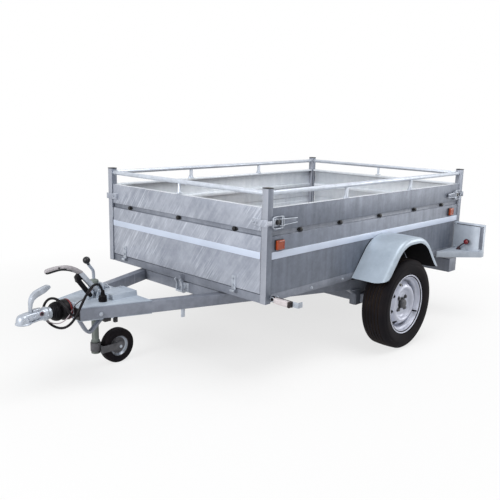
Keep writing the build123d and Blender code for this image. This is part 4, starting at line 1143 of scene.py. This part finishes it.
def coupling():
    """Coupling: round bell over the ball, pressed body, rising skirt, collar, wear button and bolts."""
    bell = turned(BELL, (0, BALL_Y, 0), "Z", 48)
    body = side_plate(-27, BODY_SIDE, 54, 0)
    skirt = side_plate(-34, SKIRT_SIDE, 68, 1.5)
    collar = turned(COLLAR, SHAFT, "Y", 48)
    lug = brick((-14, -1996, 434), (14, -1948, 453), 4, 3)
    eye = brick((-44, -1919, 400), (-18, -1905, 410), 2)
    button = coated(turned([(0, 0), (0, 11), (3, 11), (3.5, 8.5), (5, 8.5)], BUTTON, "X", 28), "wear_button")
    middle = coated(turned([(4, 0), (4, 6), (6, 5.5), (6.5, 0)], BUTTON, "X", 20), "black_plastic")
    ring = turned([(-1, 11.5), (-1, 15), (3, 15), (4, 13.5), (4, 11.5), (-1, 11.5)], BUTTON, "X", 28)
    bolts = [bolt((side * x, y, z), "X", radius, 5, side)
             for x, y, z, radius in ((27, -1996, 420, 6), (34, -1929, 418, 5.5)) for side in (1, -1)]
    metal = [bell, rounded(body, 9, 4), skirt, collar, lug, eye, ring, *bolts]
    return joined(button, middle, *[coated(piece, "zinc_fitting") for piece in metal])


def release_handle():
    """Pressed release handle: a curved channel, deepest at its middle, hollow on its inner side, where its
    faces are painted dark grey: painted shade inside the channel.
    """
    piece = side_plate(-13, HANDLE_OUTER + HANDLE_INNER, 26, 0)
    middle = at(0, -1950, 440)

    def faces_in(face, place):
        return face.normal.dot(place - middle) < 0 and place.z > HANDLE_CLEAR
    edit(piece, lambda face: abs(face.normal.x) < 0.1 and faces_in(face, face.calc_center_median()))
    bpy.ops.mesh.inset(thickness=3 * MM, use_boundary=True)
    bpy.ops.mesh.extrude_region_shrink_fatten(TRANSFORM_OT_shrink_fatten={"value": -6 * MM})
    piece = coated(rounded(closed(), 2, 3, 40), "zinc_fitting")
    # Painted shade inside the channel.
    return painted(piece, "jockey_steel",
                   lambda face: abs(face.normal.x) < 0.5 and faces_in(face, face.center))


def grip():
    """The handbrake's moulded grip on its curve, black along its underside, with a release button."""
    places = [at(0, y, z) for y, z, _ in GRIP_LINE]
    line = nurbs_line("grip", places, GRIP_DIAMETER * MM, "grip_plastic", resolution=5)
    for point, (_, _, thick) in zip(line.data.splines[0].points, GRIP_LINE):
        point.radius = thick
    only(line)
    bpy.ops.object.convert(target="MESH")
    edit(bpy.context.object)
    front = at(0, -1775, 0).y
    piece = painted(closed(), "black_plastic", lambda face: face.normal.z < -0.25 and face.center.y < front)
    button = turned([(0, 0), (0, 5), (2, 4.5), (2.5, 0)], (12.5, -1848, 640), "X", 16)
    return joined(piece, coated(button, "black_plastic"))


def jockey_roller():
    """Jockey wheel: a round-shouldered tyre on a dished hub with a bright lip and a bearing boss."""
    tread = coated(turned(both_ways(JOCKEY_TREAD) + JOCKEY_TREAD[:1], JOCKEY, "X", 72), "tyre_rubber")
    dish = coated(turned(both_ways(JOCKEY_DISH) + JOCKEY_DISH[:1], JOCKEY, "X", 56), "jockey_steel")
    painted(dish, "zinc_fitting", lambda face: 48 < from_centre(face.center, JOCKEY)[1] < 57)
    return joined(tread, dish)


def jockey_nuts():
    """Axle nuts of the jockey wheel, outside the fork's cheeks."""
    x, y, z = JOCKEY
    nuts = [bolt((x + side * 27.5, y, z), "X", 9, 12, side) for side in (1, -1)]
    return coated(joined(*nuts), "zinc_fitting")


def knob():
    """Ball knob of the winding arm, on its collar."""
    ball = [(KNOB_RADIUS * sin(radians(a)), KNOB_RADIUS * cos(radians(a))) for a in range(90, -91, -9)]
    piece = turned(ball[:-2] + [(-20.5, 9), (-27, 8.4), (-28, 7.2), (-28, 0)], None, "Z", 36)
    piece.rotation_euler.x = radians(24)
    placed(piece)
    piece.location = at(JOCKEY[0], -1613, 622)
    return coated(placed(piece), "black_plastic")


def jockey_column():
    """The jockey wheel's outer tube with its end collar and cap, and the bent winding arm."""
    x = JOCKEY[0]
    tube = turned(COLUMN, (x, COLUMN_Y, 0), "Z", 40)
    arm = wire([(x, COLUMN_Y + dy, z) for dy, z in WINDING_ARM], 17, "zinc_fitting")
    return joined(arm, coated(tube, "jockey_tube"))


def hanger_webs():
    """Front plates that close the two cheeks of each axle hanger."""
    plates = [side_plate(613, outline, 34, 0.8) for outline in (WEB_SIDE, WEB_FOOT)]
    return coated(both_sides(joined(*plates)), "galvanised_beam")


def guide_strap():
    """Bent flat bar under the left beam, a rounded U that guards the brake rod."""
    return coated(side_plate(88, GUARD_OUTER + GUARD_INNER, 25, 1.2), "galvanised_beam")


def beam_clips():
    """Cable clips and a stop under the left beam, and the welded strap on the right one."""
    clip = brick((138, -1690, 360), (164, -1652, 379), 3)
    clips = coated(joined(clip, brick((158, -1640, 350), (176, -1620, 379), 3)), "black_plastic")
    stop = brick((292, -1300, 334), (300, -1278, 381), 1.5)
    strap = brick((-295, -1186, 381), (-290, -1178, 440.6), 1)
    return joined(clips, coated(joined(stop, strap), "zinc_fitting"))


def drawbar_bolts():
    """Bolts through the beams, the housing, the jockey wheel's saddle and the axle hangers."""
    y = -1705
    heads = [bolt((side * (BEAM_SEAT + BEAM_SPREAD * y), y, 405), "X", 8, 6, side) for side in (-1, 1)]
    heads += [bolt((0, -1480, 472), "Z", 6, 5), bolt((22.4, -1622, 480), "X", 7, 5)]
    heads += [bolt((side * 665, y, 375.8), "Z", 7, 6, -1) for y in (-205, -60) for side in (-1, 1)]
    return coated(joined(*heads), "zinc_fitting")


# What makes each piece, its name, its body and the nodes that it stands for.
DRAWBAR_PIECES = (
    (gaiter, "folded_gaiter", "chassis", "overrun_bellows"),
    (coupling, "ball_coupling", "chassis", "coupling_head"),
    (release_handle, "release_lever", "chassis", "coupling_handle"),
    (grip, "brake_grip", "chassis", "handbrake_grip"),
    (jockey_column, "jockey_column", "chassis", "jockey_tube", "jockey_crank"),
    (hanger_webs, "hanger_webs", "chassis"),
    (guide_strap, "guide_strap", "chassis", "guide_loop"),
    (beam_clips, "beam_clips", "chassis"),
    (knob, "ball_knob", "chassis", "crank_knob"),
    (drawbar_bolts, "drawbar_bolts", "chassis"),
    (jockey_roller, "jockey_roller", "jockey_wheel", "jockey_wheel"),
    (jockey_nuts, "jockey_nuts", "jockey_fork"),
)
# Nodes with a finish of their own, and the rounding of their edges.
DRAWBAR_LOOKS = (("handbrake_lever", "zinc_fitting", 0.8), ("jockey_fork", "jockey_steel", 1.2),
                 ("jockey_leg", "jockey_tube", 0.8), ("overrun_housing", "housing_sheet", 1.0))


class TRAILER_OT_drawbar(bpy.types.Operator):
    """Makes the coupling, gaiter, grip and jockey wheel, and finishes the rest of the drawbar and axle"""
    bl_idname = "trailer.drawbar"
    bl_label = "Drawbar"

    def execute(self, context):
        for make, name, body, *nodes in DRAWBAR_PIECES:
            finish_piece(make(), name, body, nodes)
        for node, look, edge in DRAWBAR_LOOKS:
            dressed(node, look, edge)
        done = {name for piece in bpy.context.scene.objects for name in piece.get("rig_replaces", [])}
        for node in sorted(frame["nodes"]):
            if node not in done:
                dressed(node, None, 0.8)
        return {"FINISHED"}


# --- stage --------------------------------------------------------------------------------
CAMERA_PLACE = (2.839, -2.8835, 1.411)
CAMERA_AZIMUTH = radians(43.98)
CAMERA_DIP = radians(12.01)
CAMERA_ROLL = radians(1.28)
FOCAL_PIXELS = 642.9
FRAME_PIXELS = 500
SENSOR = 36.0
# Area lights: name, place, width and power. All look at a point over the frame's origin, at the bed's height.
LIGHTS = (("key", (0.7, -7.2, 3.2), 2.6, 400), ("fill", (3.3, 4.3, 1.7), 2.4, 84),
          ("top", (1.6, 0.4, 5.5), 3.5, 210))
LIGHT_TARGET = Vector((0, 0, 0.5))
FLOOR_WHITE = (1.2, 3.0)         # the floor turns to plain white between these distances, in metres
SHADE_STRENGTH = 0.33            # strength of the grey that lights the object


class TRAILER_OT_stage(bpy.types.Operator):
    """Sets the floor, the soft studio light and the camera"""
    bl_idname = "trailer.stage"
    bl_label = "Stage"

    def execute(self, context):
        scene = context.scene
        bpy.ops.object.select_all(action="DESELECT")
        bpy.ops.mesh.primitive_plane_add(size=60, location=(0, 0, -0.0005))
        floor = context.object
        floor.name = "floor"
        floor.data.materials.append(floor_material())
        for name, place, size, power in LIGHTS:
            bpy.ops.object.light_add(type="AREA", location=place)
            lamp = context.object
            lamp.name = name
            lamp.data.size = size
            lamp.data.energy = power
            lamp.rotation_euler = (LIGHT_TARGET - Vector(place)).to_track_quat("-Z", "Y").to_euler()
        studio_world(scene)
        side, up, back = camera_axes()
        bpy.ops.object.camera_add()
        camera = context.object
        camera.name = "camera"
        turn = Matrix((side, up, back)).transposed().to_4x4()
        camera.matrix_world = Matrix.Translation(CAMERA_PLACE) @ turn
        camera.data.sensor_fit = "HORIZONTAL"
        camera.data.sensor_width = SENSOR
        camera.data.lens = FOCAL_PIXELS / FRAME_PIXELS * SENSOR
        scene.camera = camera
        scene.view_settings.view_transform = "Standard"
        return {"FINISHED"}


def camera_axes():
    """The camera's right, up and backward directions."""
    turn, dip, roll = CAMERA_AZIMUTH, CAMERA_DIP, CAMERA_ROLL
    forward = Vector((-sin(turn) * cos(dip), cos(turn) * cos(dip), -sin(dip)))
    side = forward.cross(Vector((0, 0, 1))).normalized()
    up = side.cross(forward)
    return side * cos(roll) + up * sin(roll), up * cos(roll) - side * sin(roll), -forward


def seen_directly(tree):
    """1 for what the camera sees, directly or in a mirror or glass, 0 for the light that falls on things."""
    path = add(tree, "ShaderNodeLightPath").outputs
    seen = combined(tree, path["Is Camera Ray"], path["Is Glossy Ray"], "MAXIMUM")
    return combined(tree, seen, path["Is Transmission Ray"], "MAXIMUM")


def floor_material():
    """Matt white studio floor, plain white away from the object, which keeps a soft shadow under it."""
    material, tree, shader = new_material("studio_floor", {"Base Color": linear("#DCDCDC"), "Roughness": 0.9})
    away = add(tree, "ShaderNodeVectorMath", {0: position(tree)}, operation="LENGTH").outputs["Value"]
    share = reach(tree, away, *FLOOR_WHITE, 0.72, 1.0)
    white = combined(tree, share, seen_directly(tree), "MULTIPLY")
    glow = add(tree, "ShaderNodeEmission", {"Color": (1.0, 1.0, 1.0), "Strength": 1.0})
    lit, plain = shader.outputs["BSDF"], glow.outputs["Emission"]
    both = add(tree, "ShaderNodeMixShader", {0: white, 1: lit, 2: plain})
    output = next(node for node in tree.nodes if node.type == "OUTPUT_MATERIAL")
    tree.links.new(both.outputs["Shader"], output.inputs["Surface"])
    return material


def studio_world(scene):
    """White for the camera and for gloss, a calmer grey for the light that falls on the object."""
    world = bpy.data.worlds.new("studio")
    scene.world = world
    world.use_nodes = True
    tree = world.node_tree
    tree.nodes.clear()
    light = reach(tree, seen_directly(tree), 0.0, 1.0, SHADE_STRENGTH, 1.0)
    glow = add(tree, "ShaderNodeBackground", {"Color": (1.0, 1.0, 1.0), "Strength": light})
    add(tree, "ShaderNodeOutputWorld", {"Surface": glow.outputs["Background"]})


class TRAILER_PT_panel(bpy.types.Panel):
    """The trailer's operators, in the order in which they run"""
    bl_idname = "TRAILER_PT_panel"
    bl_label = "Utility Trailer"
    bl_space_type = "VIEW_3D"
    bl_region_type = "UI"
    bl_category = "Trailer"

    def draw(self, context):
        for operator in OPERATORS:
            self.layout.operator(operator.bl_idname)


OPERATORS = (TRAILER_OT_cords, TRAILER_OT_wheels, TRAILER_OT_bed, TRAILER_OT_fittings, TRAILER_OT_drawbar,
             TRAILER_OT_stage)
CLASSES = (TrailerLooks, TrailerSizes, *OPERATORS, TRAILER_PT_panel)


def register():
    """Makes the panel, the operators and the settings known to Blender."""
    for cls in CLASSES:
        bpy.utils.register_class(cls)
    bpy.types.Scene.trailer_looks = PointerProperty(type=TrailerLooks)
    bpy.types.Scene.trailer_sizes = PointerProperty(type=TrailerSizes)


def unregister():
    """Takes them away again."""
    del bpy.types.Scene.trailer_sizes
    del bpy.types.Scene.trailer_looks
    for cls in reversed(CLASSES):
        bpy.utils.unregister_class(cls)


def main():
    """Makes the finishes and every piece."""
    register()
    make_materials(bpy.context.scene.trailer_looks, bpy.context.scene.trailer_sizes)
    for operator in OPERATORS:
        getattr(bpy.ops.trailer, operator.bl_idname.split(".")[1])()


if __name__ == "__main__":
    main()
